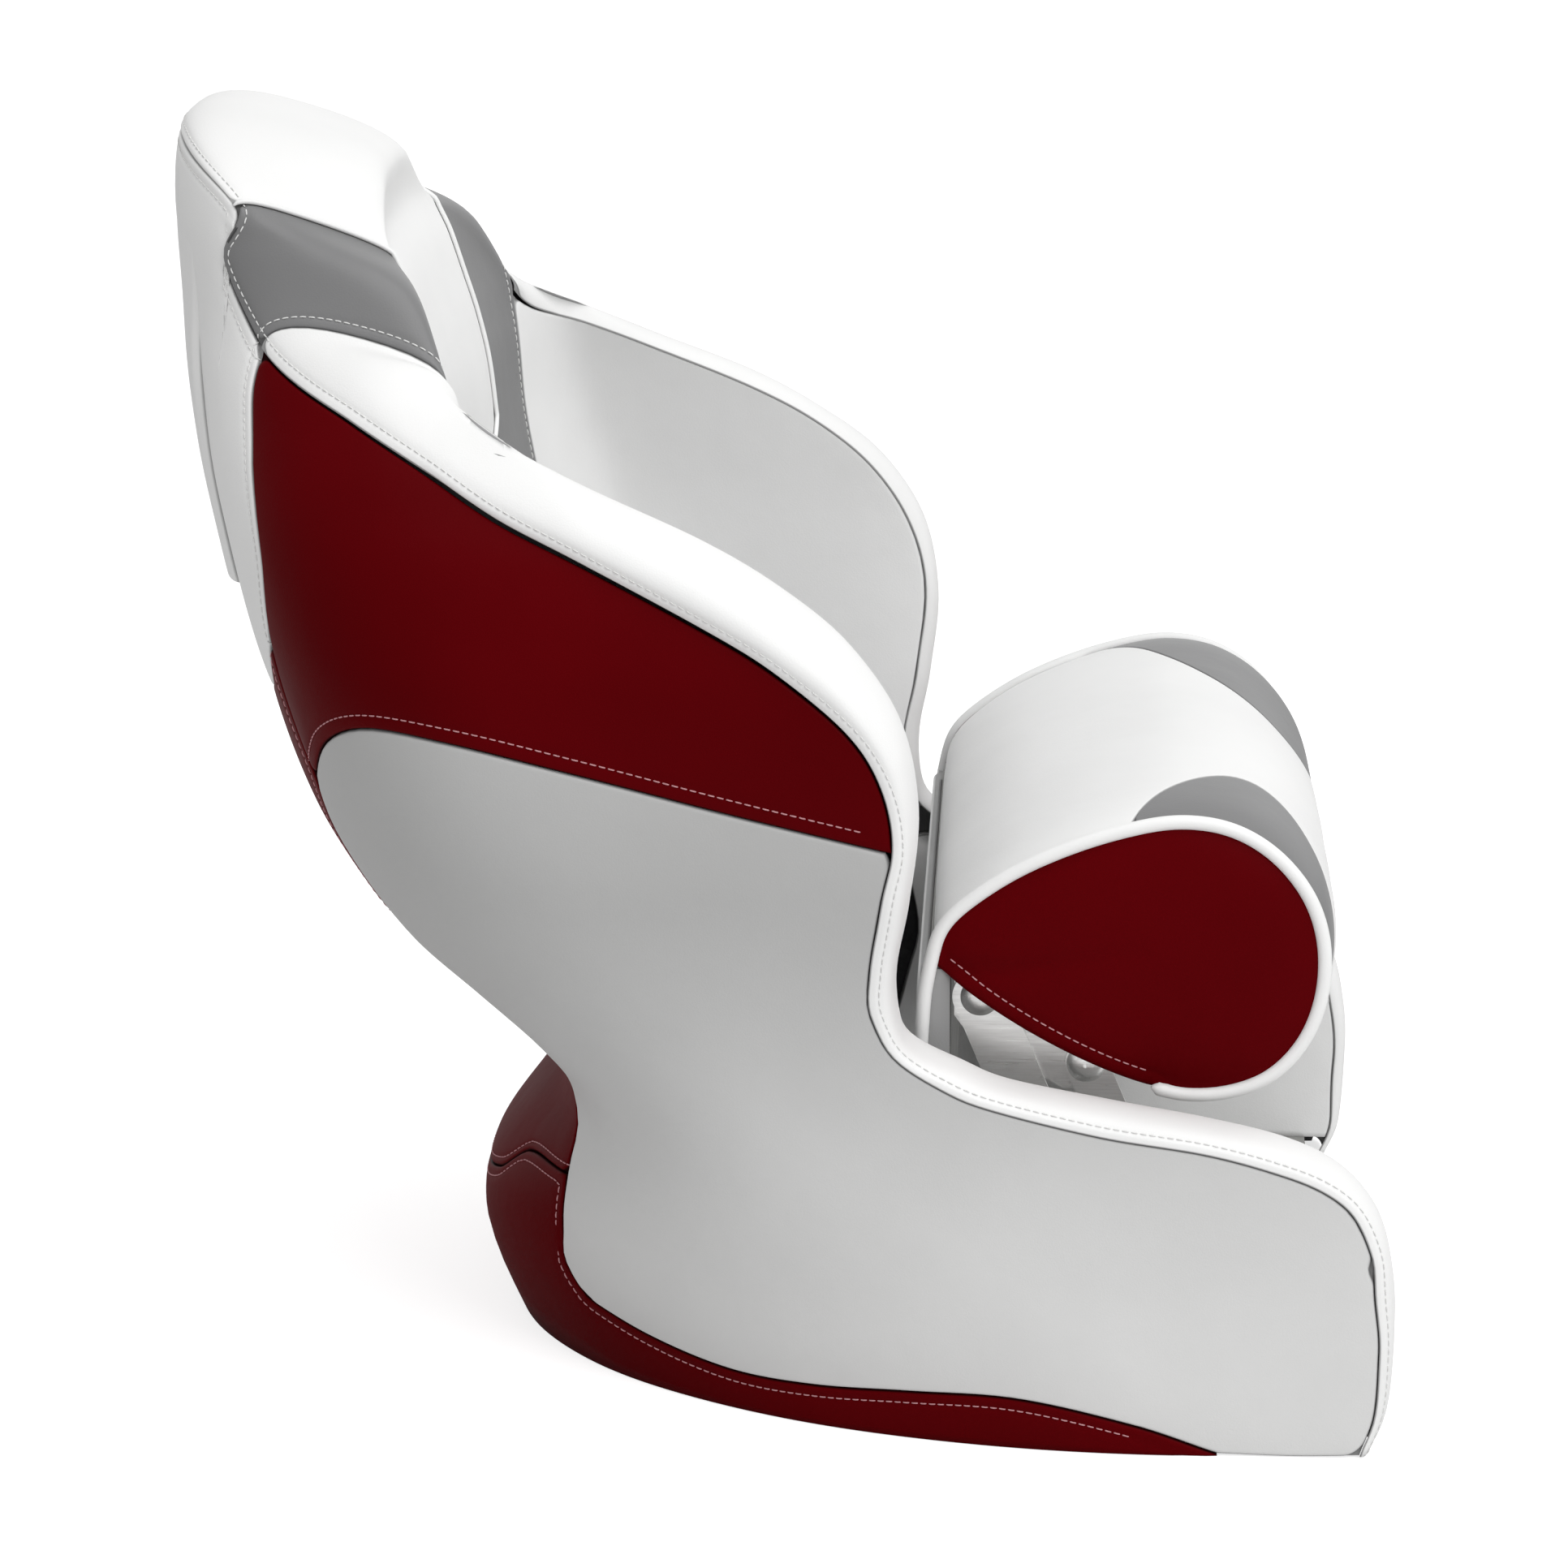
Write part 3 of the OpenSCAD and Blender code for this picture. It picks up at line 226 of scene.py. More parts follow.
# A smooth line through points, with lengths along it in the first column
def smoothLine(points, scale=(1, 1)):
    points = np.asarray(points, float)
    step = np.diff(points, axis=0) * np.array(scale)
    length = np.concatenate([[0], np.cumsum(np.maximum(np.linalg.norm(step, axis=1), 0.01))])
    return np.column_stack([length, points])


# A seam is a function of a running number, from 0 to its count of steps
def seam(points, count):
    line = smoothLine(points, (girthSize, 1))
    return lambda k: readTable(line, np.asarray(k) / count * line[-1, 0]), count


def rimSeam(first, last, count, stations=outerStations):
    return lambda k: readTable(stations, first + np.asarray(k) / count * (last - first)), count


def chained(*seams):
    ends = np.cumsum([0] + [count for f, count in seams])

    def read(k):
        k = np.asarray(k, float)
        parts = [f(np.clip(k - start, 0, count)) for (f, count), start in zip(seams, ends)]
        which = np.clip(np.searchsorted(ends, k, side="right") - 1, 0, len(seams) - 1)
        return np.choose(which[..., None], parts)
    return read, ends[-1]


# The same seam at another pace: after each of the new counts it has reached the given old one
def paced(one, counts, reached):
    return lambda k: one[0](np.interp(k, counts, reached)), counts[-1]


# Length of the outer form from the middle of the rear to y = 0 on the side, in girth
def cornerReach(z):
    w, rear, turn, n = columnsAt(outerForm, z)
    return (cornerLengths(w, rear - turn, n)[..., -1] + turn) / girthSize


# The same seam with its girth measured from y = 0 on the side, where upright seams keep their shape
def fromSide(one):
    f, count = one

    def read(k):
        g = f(k)
        return np.stack([g[..., 0] - cornerReach(g[..., 1]), g[..., 1]], -1)
    return read, count


def mirrored(one):
    f, count = one
    return lambda k: f(k) * np.array([-1, 1]), count


def reversedSeam(one):
    f, count = one
    return lambda k: f(count - np.asarray(k)), count


# Seams of the outer panels. Rear ones are given by half breadth, side ones by their place along the side
def rearSeam(rows, count):
    return seam(byX(outerForm, rows), count)


def sideSeam(rows, count, rear=()):
    start = [byX(outerForm, rear)] if len(rear) else []
    return seam(np.concatenate(start + [byY(outerForm, rows)]), count)


headSeam = rimSeam(-shoulder, shoulder, 16)
wingSeam = rimSeam(shoulder, redEnd, 18)
waistSeam = rimSeam(redEnd, wingEnd, 8)
lowerRimSeam = rimSeam(wingEnd, armEnd, 8)
frontSeam = rimSeam(armEnd, frontFoot, 9)
stripSeam = rearSeam([[169, 599], [182, 577], [204, 546], [230, 496], [223, 445]], 5)
backLowSeam = rearSeam([[-223, 445], [-174, 407], [0, 398], [174, 407], [223, 445]], 16)
cornerSeam = rearSeam([[223, 445], [214, 400], [212, 364]], 2)
hemSeam = sideSeam([[283, 408], [217, 393], [131, 371], [44, 350]], 18, [[212, 364], [256, 396], [288, 411]])
lipSideSeam = rearSeam([[212, 364], [194, 331], [190, 300], [196, 279]], 2)
lipSeam = rearSeam([[-196, 279], [0, 283], [196, 279]], 16)
hiddenSeam = rearSeam([[196, 279], [137, 230], [131, 190], [157, 155], [173, 122]], 4)
doubleSeam = rearSeam([[-173, 122], [-107, 115], [-75, 94], [0, 80], [75, 94], [107, 115], [173, 122]], 16)
heelSeam = rearSeam([[173, 122], [175, 91], [169, 69], [173, 46]], 3)
skirtSeam = sideSeam([[136, 24], [89, 24], [34, 28], [-26, 29], [-93, 16], [-138, 1]], 20,
                     [[173, 46], [201, 33]])
footSeam = seam(np.concatenate([byY(outerForm, [[-138, 1], [-180, 0]]), [rimOuter[-1]]]), 14)
floorSeam = seam(np.concatenate([byY(outerForm, [[-138, 0], [-80, 0], [0, 0], [100, 0]]),
                                 byX(outerForm, [[173, 0], [107, 0], [0, 0]])]), 31)


# Blends four seams into one sheet of girth and height: upper and lower run with u, first and last with v.
# The higher the power, the nearer to their own ends the bends of first and last stay
def sheetOf(upper, lower, first, last, power=1):
    def read(u, v):
        u, v = np.broadcast_arrays(u, v)
        a, b = upper[0](u * upper[1]), lower[0](u * lower[1])
        c, d = first[0](v * first[1]), last[0](v * last[1])
        corner = [upper[0](0.0), upper[0](float(upper[1])), lower[0](0.0), lower[0](float(lower[1]))]
        u, v = u[..., None], v[..., None]
        return ((1 - v) * a + v * b + (1 - u)**power * (c - (1 - v) * corner[0] - v * corner[2])
                + u**power * (d - (1 - v) * corner[1] - v * corner[3]))
    return read


# Places along a length, close together at both ends where the seams roll in
nearSeam = np.array([0.12, 0.3, 0.6, 1.0, 1.5, 2.1, 2.8, 3.6, 4.4, 5.2, 6.0, 6.8, 7.8, 9.2, 11, 13.5, 17])


def spreadPlaces(length, step=7.0, startSeam=True, endSeam=True):
    near = nearSeam[nearSeam < length * 0.42]
    a = near if startSeam else np.array([0.0])
    b = length - (near if endSeam else np.array([0.0]))[::-1]
    count = max(int(round((b[0] - a[-1]) / step)), 2)
    return np.concatenate([a, np.linspace(a[-1], b[0], count + 1)[1:-1], b])


# Running numbers from 0 to 1 whose points lie at the wanted distances along the mean of some lines
def placed(point, step, startSeam, endSeam):
    k = np.linspace(0, 1, 401)
    lengths = []
    for across in (0.06, 0.5, 0.94):
        lengths.append(runLengths(point(k, across + 0 * k)))
    mean = np.mean(lengths, axis=0)
    return np.interp(spreadPlaces(mean[-1], step, startSeam, endSeam), mean, k)


allSides = ("upper", "lower", "first", "last")


# Places along and across a sheet, spread by their distances on it and closer together at its sewn sides
def gridPlaces(point, step, sewn=allSides):
    u = placed(point, step, "first" in sewn, "last" in sewn)
    v = placed(lambda a, b: point(b, a), step, "upper" in sewn, "lower" in sewn)
    return u[:, None], v[None, :]


# How a cover drops near a seam: a rolled lip, a soft fall towards it, and a furrow along each row of stitches
cover = {"lip": 2.4, "fall": 1.2, "fallReach": 15.0, "furrow": 0.5, "furrowWidth": 1.6}


# Drop of a rolled edge of radius r, at distance d from it
def rolled(d, r):
    k = np.clip(r - d, 0, r)
    return r - np.sqrt(np.maximum(r * r - k * k, 0))


def seamDrop(d, lip, fall):
    return rolled(d, lip) + fall * np.exp(-d / cover["fallReach"])


# Least distance of points from a line of straight pieces
def distanceTo(points, line):
    a, b = line[:-1], line[1:]
    ab = b - a
    size = np.maximum(np.sum(ab * ab, 1), 1e-9)
    k = np.clip(np.einsum("...kc,kc->...k", points[..., None, :] - a, ab) / size, 0, 1)
    return np.linalg.norm(points[..., None, :] - (a + k[..., None] * ab), axis=-1).min(-1)


# Distances of a grid's points from its four sides
def gridDistances(p):
    sides = {"first": p[0], "last": p[-1], "upper": p[:, 0], "lower": p[:, -1]}
    return {side: distanceTo(p, line) for side, line in sides.items()}


# Unit normals of a grid, turned the way that outward points
def gridNormals(p, outward):
    n = unit(np.cross(np.gradient(p, axis=0), np.gradient(p, axis=1)), 1e-12)
    side = np.sum(n * outward, -1)
    return n if np.median(side) > 0 else -n


# Slow swells of stuffed vinyl: a few sine waves with directions and phases from a fixed seed
def swell(p, size=90.0):
    rng = np.random.default_rng(1)
    total = np.zeros(p.shape[:-1])
    for k in range(5):
        way = rng.normal(size=3)
        way *= 2 * np.pi / (size * (0.6 + 0.9 * rng.random())) / np.linalg.norm(way)
        total += np.sin(p @ way + rng.random() * 6.28)
    return total / 5


# A new object in the scene
def placeObject(name, data):
    obj = bpy.data.objects.new(name, data)
    bpy.context.collection.objects.link(obj)
    return obj


# Distance from a seam that stands for none near by
farFromSeam = 9.0


# A piece in its body and slot, with that slot's finish if none is given
def addMesh(name, verts, faces, body, slot, material=None, seamAt=None):
    mesh = bpy.data.meshes.new(name)
    mesh.from_pydata((np.asarray(verts) * milli).tolist(), [], faces)
    mesh.polygons.foreach_set("use_smooth", np.full(len(mesh.polygons), True))
    # seamAt is the distance from the nearest seam, from which the vinyl finish paints shade into the seam;
    # far from a seam means no painted shade
    seamAt = np.full(len(mesh.vertices), farFromSeam) if seamAt is None else seamAt
    values = mesh.attributes.new("seamAt", "FLOAT", "POINT").data
    values.foreach_set("value", np.asarray(seamAt, np.float32).ravel())
    mesh.update()
    obj = placeObject(name, mesh)
    obj.data.materials.append(material or slotFinish[slot])
    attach(obj, body)
    return obj


# Quads of a grid of m by n points that start at an index
def gridQuads(m, n, start=0, flip=False):
    k = start + np.arange(m * n).reshape(m, n)
    quads = np.stack([k[:-1, :-1], k[:-1, 1:], k[1:, 1:], k[1:, :-1]], -1).reshape(-1, 4)
    return quads[:, ::-1] if flip else quads


# A closed pad from a face grid and a back grid: the face, the back, and walls round the border
def closedPad(name, face, back, outward, body, slot, material, seamAt):
    m, n = face.shape[:2]
    k = np.arange(m * n).reshape(m, n)
    i, j = m // 2, n // 2
    normal = np.cross(face[i + 1, j] - face[i, j], face[i, j + 1] - face[i, j])
    flip = np.dot(normal, outward[i, j]) > 0
    loop = np.concatenate([k[:, 0], k[-1, 1:], k[-2::-1, -1], k[0, -2:0:-1]])
    after = np.roll(loop, -1)
    walls = np.stack([loop, loop + m * n, after + m * n, after], -1)
    faces = np.concatenate([gridQuads(m, n), gridQuads(m, n, m * n, True), walls[:, ::-1]])
    if flip:
        faces = faces[:, ::-1]
    verts = np.concatenate([face.reshape(-1, 3), back.reshape(-1, 3)])
    # The back gets distance 0 and so the full painted seam shade
    seamAt = np.concatenate([seamAt.ravel(), np.zeros(m * n)])
    return addMesh(name, verts, faces.tolist(), body, slot, material, seamAt)


# Least distance to the sides that are sewn, rounded off in the corners
def sewnDistance(apart, sewn, r=9.0, far=1e3):
    d = {side: apart[side] if side in sewn else far for side in allSides}
    along, across = np.minimum(d["first"], d["last"]), np.minimum(d["upper"], d["lower"])
    a, b = np.maximum(r - along, 0), np.maximum(r - across, 0)
    both = r - np.sqrt(a * a + b * b)
    return np.maximum(np.where((a > 0) & (b > 0), both, np.minimum(along, across)), 0)


threads = {}
otherSide = np.array([-1, 1, 1])


# Rows of stitches are gathered as points with normals, and made into thread at the end
def noteStitches(kind, body, points, normals):
    threads.setdefault((kind, body), []).append((points, normals))


# A row at distance s from one side of a padded grid
def rowAt(face, plain, normals, side, s):
    d = gridDistances(plain)[side]
    if side in ("first", "last"):
        d, face, normals = d.T, face.transpose(1, 0, 2), normals.transpose(1, 0, 2)
    if side in ("last", "lower"):
        d, face, normals = d[:, ::-1], face[:, ::-1], normals[:, ::-1]
    d = np.maximum.accumulate(d, axis=1)
    k = np.array([np.interp(s, row, np.arange(len(row))) for row in d])
    i = np.minimum(k.astype(int), d.shape[1] - 2)
    f = (k - i)[:, None]
    r = np.arange(len(d))
    keep = d[:, -1] > 2.2 * s
    return [(grid[r, i] * (1 - f) + grid[r, i + 1] * f)[keep] for grid in (face, normals)]


# A padded panel on the outer form, between four seams; side measures its girth from the side
def outerPanel(name, seams, slot, thick=10.0, sewn=allSides, side=False, **more):
    blended = sheetOf(*map(fromSide, seams), power=3) if side else sheetOf(*seams)

    def sheet(u, v):
        g = blended(u, v)
        return g + np.stack([cornerReach(g[..., 1]), 0 * g[..., 1]], -1) if side else g

    def point(u, v):
        g = sheet(u, v)
        return formPoint(outerForm, g[..., 0], np.clip(g[..., 1], 0, None))

    g = sheet(*gridPlaces(point, 7.0, sewn))
    q, z = g[..., 0], np.clip(g[..., 1], 0, None)
    plain, normals = formPoint(outerForm, q, z), formNormal(outerForm, q, z)
    return padFrom(name, plain, normals, "seat", slot, thick, sewn, **more)


# A pad over a grid of points: lift is how far its face stands off, thick how deep its back lies
def padFrom(name, plain, normals, body, slot, thick, sewn=allSides, lift=0.0, swelling=0.5, stitches=(),
            mirror=False, lip=cover["lip"], fall=cover["fall"], material=None):
    apart = gridDistances(plain)
    d = sewnDistance(apart, sewn)
    lift = lift(plain) if callable(lift) else lift
    rise = lift - seamDrop(d, lip, fall) + swelling * swell(plain) * (1 - np.exp(-d / 14))
    for kind, side, s in stitches:
        rise -= cover["furrow"] * np.exp(-((apart[side] - s) / cover["furrowWidth"])**2)
    face = plain + normals * rise[..., None]
    back = plain - normals * thick
    face[..., 2] = np.maximum(face[..., 2], 0.0)
    back[..., 2] = np.maximum(back[..., 2], 0.0)
    for kind, side, s in stitches:
        p, n = rowAt(face, plain, normals, side, s)
        noteStitches(kind, body, p, n)
        if mirror:
            noteStitches(kind, body, p * otherSide, n * otherSide)
    if mirror:
        closedPad("left" + name, face, back, normals, body, slot, material, d)
        face, back, normals = face * otherSide, back * otherSide, normals * otherSide
        return closedPad("right" + name, face, back, normals, body, slot, material, d)
    return closedPad(name, face, back, normals, body, slot, material, d)


# One output of a new shader node; inputs go by name or place, as numbers or as the sockets that feed them
def fromNode(tree, kind, inputs=(), out=0, **settings):
    node = tree.nodes.new("ShaderNode" + kind)
    for key, value in settings.items():
        setattr(node, key, value)
    for place, value in dict(inputs).items():
        if isinstance(value, bpy.types.NodeSocket):
            tree.links.new(value, node.inputs[place])
        else:
            node.inputs[place].default_value = value
    return node.outputs[out]


# A group with the given inputs and defaults; finishGroup gives it a colour, a roughness and a normal
def newGroup(name, inputs):
    group = bpy.data.node_groups.new(name, "ShaderNodeTree")
    kinds = {1: "NodeSocketFloat", 3: "NodeSocketVector", 4: "NodeSocketColor"}
    for label, value in inputs.items():
        socket = group.interface.new_socket(name=label, in_out="INPUT", socket_type=kinds[np.size(value)])
        socket.default_value = value
    for label, size in (("Colour", 4), ("Roughness", 1), ("Normal", 3)):
        group.interface.new_socket(name=label, in_out="OUTPUT", socket_type=kinds[size])
    return group, group.nodes.new("NodeGroupInput").outputs, fromNode(group, "TexCoord", out="Object")


def finishGroup(group, *results):
    end = group.nodes.new("NodeGroupOutput")
    for k, socket in enumerate(results):
        group.links.new(socket, end.inputs[k])
    return group


def mixedColour(group, part, first, second):
    return fromNode(group, "Mix", {0: part, 6: first, 7: second}, 2, data_type="RGBA")


def timesPlus(group, value, times, plus):
    return fromNode(group, "Math", {0: value, 1: times, 2: plus}, operation="MULTIPLY_ADD")


# Vinyl skin: a pebbled grain over slow random changes of tone, with painted shade darker in the seam, and
# painted shade growing towards the hem
def makeVinylGroup():
    group, given, where = newGroup("vinylSkin", {
        "Colour": (0.8, 0.8, 0.8, 1), "Painted Seam Shade": (0.1, 0.1, 0.1, 1), "Shade Change": 0.03,
        "Grain Size": 900.0, "Grain Depth": 0.12, "Crease Depth": 0.2, "Roughness": 0.42, "Painted Upper Shade": 1.0})
    slow = fromNode(group, "TexNoise", {"Vector": where, "Scale": 7.0, "Detail": 3.0})
    shade = fromNode(group, "MapRange", {0: slow, 1: 0.3, 2: 0.7, 3: -1.0, 4: 1.0})
    # Painted shade: the colour is darkened from full at 5 cm high to the upper shade factor at 34 cm
    height = fromNode(group, "SeparateXYZ", {0: where}, "Z")
    upper = fromNode(group, "MapRange", {0: height, 1: 0.05, 2: 0.34, 3: 1.0, 4: given["Painted Upper Shade"]},
                     interpolation_type="SMOOTHSTEP")
    amount = timesPlus(group, timesPlus(group, shade, given["Shade Change"], 1.0), upper, 0.0)
    tinted = fromNode(group, "VectorMath", {0: given["Colour"], "Scale": amount}, operation="SCALE")
    # Painted shade in the seams: near a seam the colour goes over to the dark seam colour
    seamAt = fromNode(group, "Attribute", out="Fac", attribute_name="seamAt")
    paintedSeamShade = fromNode(group, "MapRange", {0: seamAt, 1: 0.25, 2: 1.3, 3: 1.0, 4: 0.0},
                      interpolation_type="SMOOTHSTEP")
    colour = mixedColour(group, paintedSeamShade, tinted, given["Painted Seam Shade"])
    rough = timesPlus(group, shade, 0.05, given["Roughness"])
    crease = fromNode(group, "TexNoise", {"Vector": where, "Scale": 24.0, "Detail": 2.0})
    soft = fromNode(group, "Bump", {"Strength": given["Crease Depth"], "Distance": 0.004, "Height": crease})
    pebble = fromNode(group, "TexVoronoi", {"Vector": where, "Scale": given["Grain Size"]}, feature="F1")
    bump = fromNode(group, "Bump", {"Strength": given["Grain Depth"], "Distance": 0.0004, "Height": pebble,
                                    "Normal": soft})
    return finishGroup(group, colour, rough, bump)


# Grain of metal, plastic and thread: fine noise drawn out along one way, between two colours
def makeGrainGroup():
    group, given, where = newGroup("drawnGrain", {
        "Colour": (0.5, 0.5, 0.5, 1), "Second Colour": (0.4, 0.4, 0.4, 1), "Stretch": (1, 1, 1),
        "Scale": 100.0, "Roughness": 0.4, "Roughness Change": 0.1, "Depth": 0.1})
    drawn = fromNode(group, "VectorMath", {0: where, 1: given["Stretch"]}, operation="MULTIPLY")
    noise = fromNode(group, "TexNoise", {"Vector": drawn, "Scale": given["Scale"], "Detail": 3.0})
    part = fromNode(group, "MapRange", {0: noise, 1: 0.3, 2: 0.7})
    colour = mixedColour(group, part, given["Colour"], given["Second Colour"])
    rough = timesPlus(group, part, given["Roughness Change"], given["Roughness"])
    bump = fromNode(group, "Bump", {"Strength": given["Depth"], "Distance": 0.0005, "Height": noise})
    return finishGroup(group, colour, rough, bump)


# Plywood under grey sealer: dark and pale plies through the thickness, with drawn-out grain over them
def makeWoodGroup():
    group, given, where = newGroup("sealedPly", {"Pale": (0.3, 0.3, 0.29, 1), "Dark": (0.21, 0.21, 0.2, 1)})
    drawn = fromNode(group, "VectorMath", {0: where, 1: (6.0, 60.0, 60.0)}, operation="MULTIPLY")
    grain = fromNode(group, "TexNoise", {"Vector": drawn, "Scale": 3.0, "Detail": 4.0})
    plies = fromNode(group, "TexWave", {"Vector": where, "Scale": 190.0, "Distortion": 0.6}, "Fac",
                     bands_direction="Z")
    part = fromNode(group, "MapRange", {0: timesPlus(group, plies, 0.35, grain), 1: 0.35, 2: 0.95})
    colour = mixedColour(group, part, given["Pale"], given["Dark"])
    rough = timesPlus(group, grain, 0.2, 0.42)
    bump = fromNode(group, "Bump", {"Strength": 0.15, "Distance": 0.0005, "Height": grain})
    return finishGroup(group, colour, rough, bump)


def groupMaterial(name, group, values, metallic=0.0, specular=0.5):
    material = bpy.data.materials.new(name)
    material.use_nodes = True
    tree = material.node_tree
    shader = tree.nodes["Principled BSDF"]
    made = tree.nodes.new("ShaderNodeGroup")
    made.node_tree = group
    for label, value in values.items():
        made.inputs[label].default_value = value
    shader.inputs["Metallic"].default_value = metallic
    shader.inputs["Specular IOR Level"].default_value = specular
    for label, target in (("Colour", "Base Color"), ("Roughness", "Roughness"), ("Normal", "Normal")):
        tree.links.new(made.outputs[label], shader.inputs[target])
    return material


vinylGroup = makeVinylGroup()
# The seam colours below are painted shade in the seam grooves, a darker version of each vinyl
whiteVinyl = groupMaterial("white vinyl", vinylGroup, {
    "Colour": (0.86, 0.86, 0.855, 1), "Painted Seam Shade": (0.32, 0.32, 0.32, 1), "Roughness": 0.46}, specular=0.4)
greyVinyl = groupMaterial("grey vinyl", vinylGroup, {
    "Colour": (0.175, 0.175, 0.177, 1), "Painted Seam Shade": (0.05, 0.05, 0.05, 1), "Roughness": 0.4},
    specular=0.45)
redVinyl = groupMaterial("red vinyl", vinylGroup, {
    "Colour": (0.094, 0.0002, 0.0016, 1), "Painted Seam Shade": (0.012, 0.0003, 0.0006, 1), "Roughness": 0.45,
    "Shade Change": 0.08}, specular=0.02)
# Painted shade: the side panels lie in shade under the hem, so this copy of the white vinyl is darker,
# darkest at the top and paler towards the floor
paintedShadeVinyl = groupMaterial("white vinyl, painted shade", vinylGroup, {
    "Colour": (0.7, 0.7, 0.695, 1), "Painted Seam Shade": (0.25, 0.25, 0.25, 1), "Roughness": 0.46,
    "Painted Upper Shade": 0.66}, specular=0.35)
grainGroup = makeGrainGroup()
threadGrain = {"Stretch": (1, 1, 0.5), "Scale": 2600.0, "Roughness": 0.55, "Depth": 0.4}
paleThread = groupMaterial("pale thread", grainGroup, {
    "Colour": (0.85, 0.85, 0.84, 1), "Second Colour": (0.66, 0.66, 0.65, 1), **threadGrain}, specular=0.2)
roseThread = groupMaterial("rose thread", grainGroup, {
    "Colour": (0.66, 0.34, 0.36, 1), "Second Colour": (0.45, 0.2, 0.22, 1), **threadGrain}, specular=0.2)
steelMetal = groupMaterial("brushed steel", grainGroup, {
    "Colour": (0.86, 0.86, 0.85, 1), "Second Colour": (0.74, 0.74, 0.73, 1), "Stretch": (1, 0.04, 1),
    "Scale": 900.0, "Roughness": 0.26, "Roughness Change": 0.16, "Depth": 0.12}, metallic=1.0)
shellPlastic = groupMaterial("moulded shell", grainGroup, {
    "Colour": (0.03, 0.03, 0.032, 1), "Second Colour": (0.045, 0.045, 0.047, 1), "Scale": 420.0,
    "Roughness": 0.45, "Roughness Change": 0.15, "Depth": 0.3})
boardWood = groupMaterial("sealed board", makeWoodGroup(), {})
slotFinish = {"white_vinyl": whiteVinyl, "grey_vinyl": greyVinyl, "red_vinyl": redVinyl, "steel": steelMetal,
              "shell": shellPlastic, "board": boardWood}
print("finishes made")

outerPanel("rearBackPanel", (headSeam, backLowSeam, mirrored(stripSeam), stripSeam), "white_vinyl",
           stitches=(("pale", "upper", 6.0), ("pale", "first", 6.0), ("pale", "last", 6.0)))


# The pad swells out of the panel: sunk just under it at the top, and proud of it lower down
def padLift(p, top=690, reach=130, sunk=1.5, proud=6.0):
    k = np.clip((top - p[..., 2]) / reach, 0, 1)
    return -sunk + (sunk + proud) * k * k * (3 - 2 * k)


padTop = rearSeam([[-112, 682], [-60, 694], [0, 697], [60, 694], [112, 682]], 12)
padSide = rearSeam([[112, 682], [108, 640], [112, 600], [128, 560], [138, 520], [140, 458]], 8)
padFoot = rearSeam([[-140, 458], [-60, 450], [0, 449], [60, 450], [140, 458]], 12)
outerPanel("rearBackPad", (padTop, padFoot, mirrored(padSide), padSide), "white_vinyl", thick=6.0,
           lift=padLift, lip=7.0)
backEdge = chained(cornerSeam, lipSideSeam)
outerPanel("lowerBackPanel", (backLowSeam, lipSeam, mirrored(backEdge), backEdge), "red_vinyl",
           stitches=(("rose", "first", 8.5), ("rose", "last", 8.5)))
outerPanel("lowerRearPanel", (lipSeam, doubleSeam, mirrored(hiddenSeam), hiddenSeam), "red_vinyl",
           stitches=(("rose", "lower", 5.0),))
meetSeam = seam([rimOuter[redEnd], byY(outerForm, [[44, 350]])[0]], 7)
outerPanel("RedSidePanel", (wingSeam, hemSeam, chained(stripSeam, cornerSeam), meetSeam),
           "red_vinyl", mirror=True, sewn=("upper", "lower", "first"), stitches=(("rose", "lower", 8.5),))
# The foot is paced so that lines across the panel pass behind the waist
pacedFoot = paced(chained(skirtSeam, footSeam), (0, 18, 22, 26, 34), (0, 4, 6, 8, 34))
lowerRear = chained(lipSideSeam, hiddenSeam, heelSeam)
# The lower side panels take the copy of the white vinyl with painted shade
outerPanel("LowerSidePanel", (chained(hemSeam, waistSeam, lowerRimSeam), pacedFoot, lowerRear, frontSeam),
           "white_vinyl", material=paintedShadeVinyl, mirror=True, side=True)
skirtEdge = chained(heelSeam, skirtSeam)
skirtTop = chained(reversedSeam(mirrored(skirtEdge)), doubleSeam, skirtEdge)
floorRing = chained(mirrored(floorSeam), reversedSeam(floorSeam))
skirtEnd = seam([byY(outerForm, [[-138, 1]])[0], byY(outerForm, [[-138, 0]])[0]], 3)
outerPanel("rearSkirt", (skirtTop, floorRing, mirrored(skirtEnd), skirtEnd), "red_vinyl",
           sewn=("upper",), stitches=(("rose", "upper", 6.5),))
print("outer panels made")


# A pad of the inside or the rim, between two stations
def gridPad(name, point, first, last, outwardOf, slot, thick, step=7.0, sewn=allSides, **more):
    def along(a, b):
        return point(first + (last - first) * a, b)

    plain = along(*gridPlaces(along, step, sewn))
    normals = gridNormals(plain, outwardOf(plain))
    return padFrom(name, plain, normals, "seat", slot, thick, sewn, **more)


def towardsMiddle(p):
    return np.stack([-p[..., 0], middleY - p[..., 1], 0 * p[..., 2]], -1)


# Cap and wall in one run: v from 0 to capShare goes over the rim, and on to 1 down the inner face to its foot
def capAndWall(capShare, foot):
    def point(s, v):
        s, v = np.broadcast_arrays(s, v)
        t = np.clip(v / capShare, 0, 1)
        r = np.clip((v - capShare) / (1 - capShare), 0, 1) * foot(s)
        return np.where((v < capShare)[..., None], capPoint(s, t), wallPoint(s, r))
    return point


# The foot of the headrest hangs lowest in the middle and is rounded off at its corners
def headFoot(s):
    return 0.385 - 0.085 * np.minimum(np.abs(s) / headEnd, 1)**3.5


def wholeFoot(s):
    return 1.0 + 0 * s


def upwards(p):
    return np.broadcast_to([0, -0.3, 1.0], p.shape)


def backPoint(s, r):
    return wallPoint(s, headFoot(s) + (1 - headFoot(s)) * r)


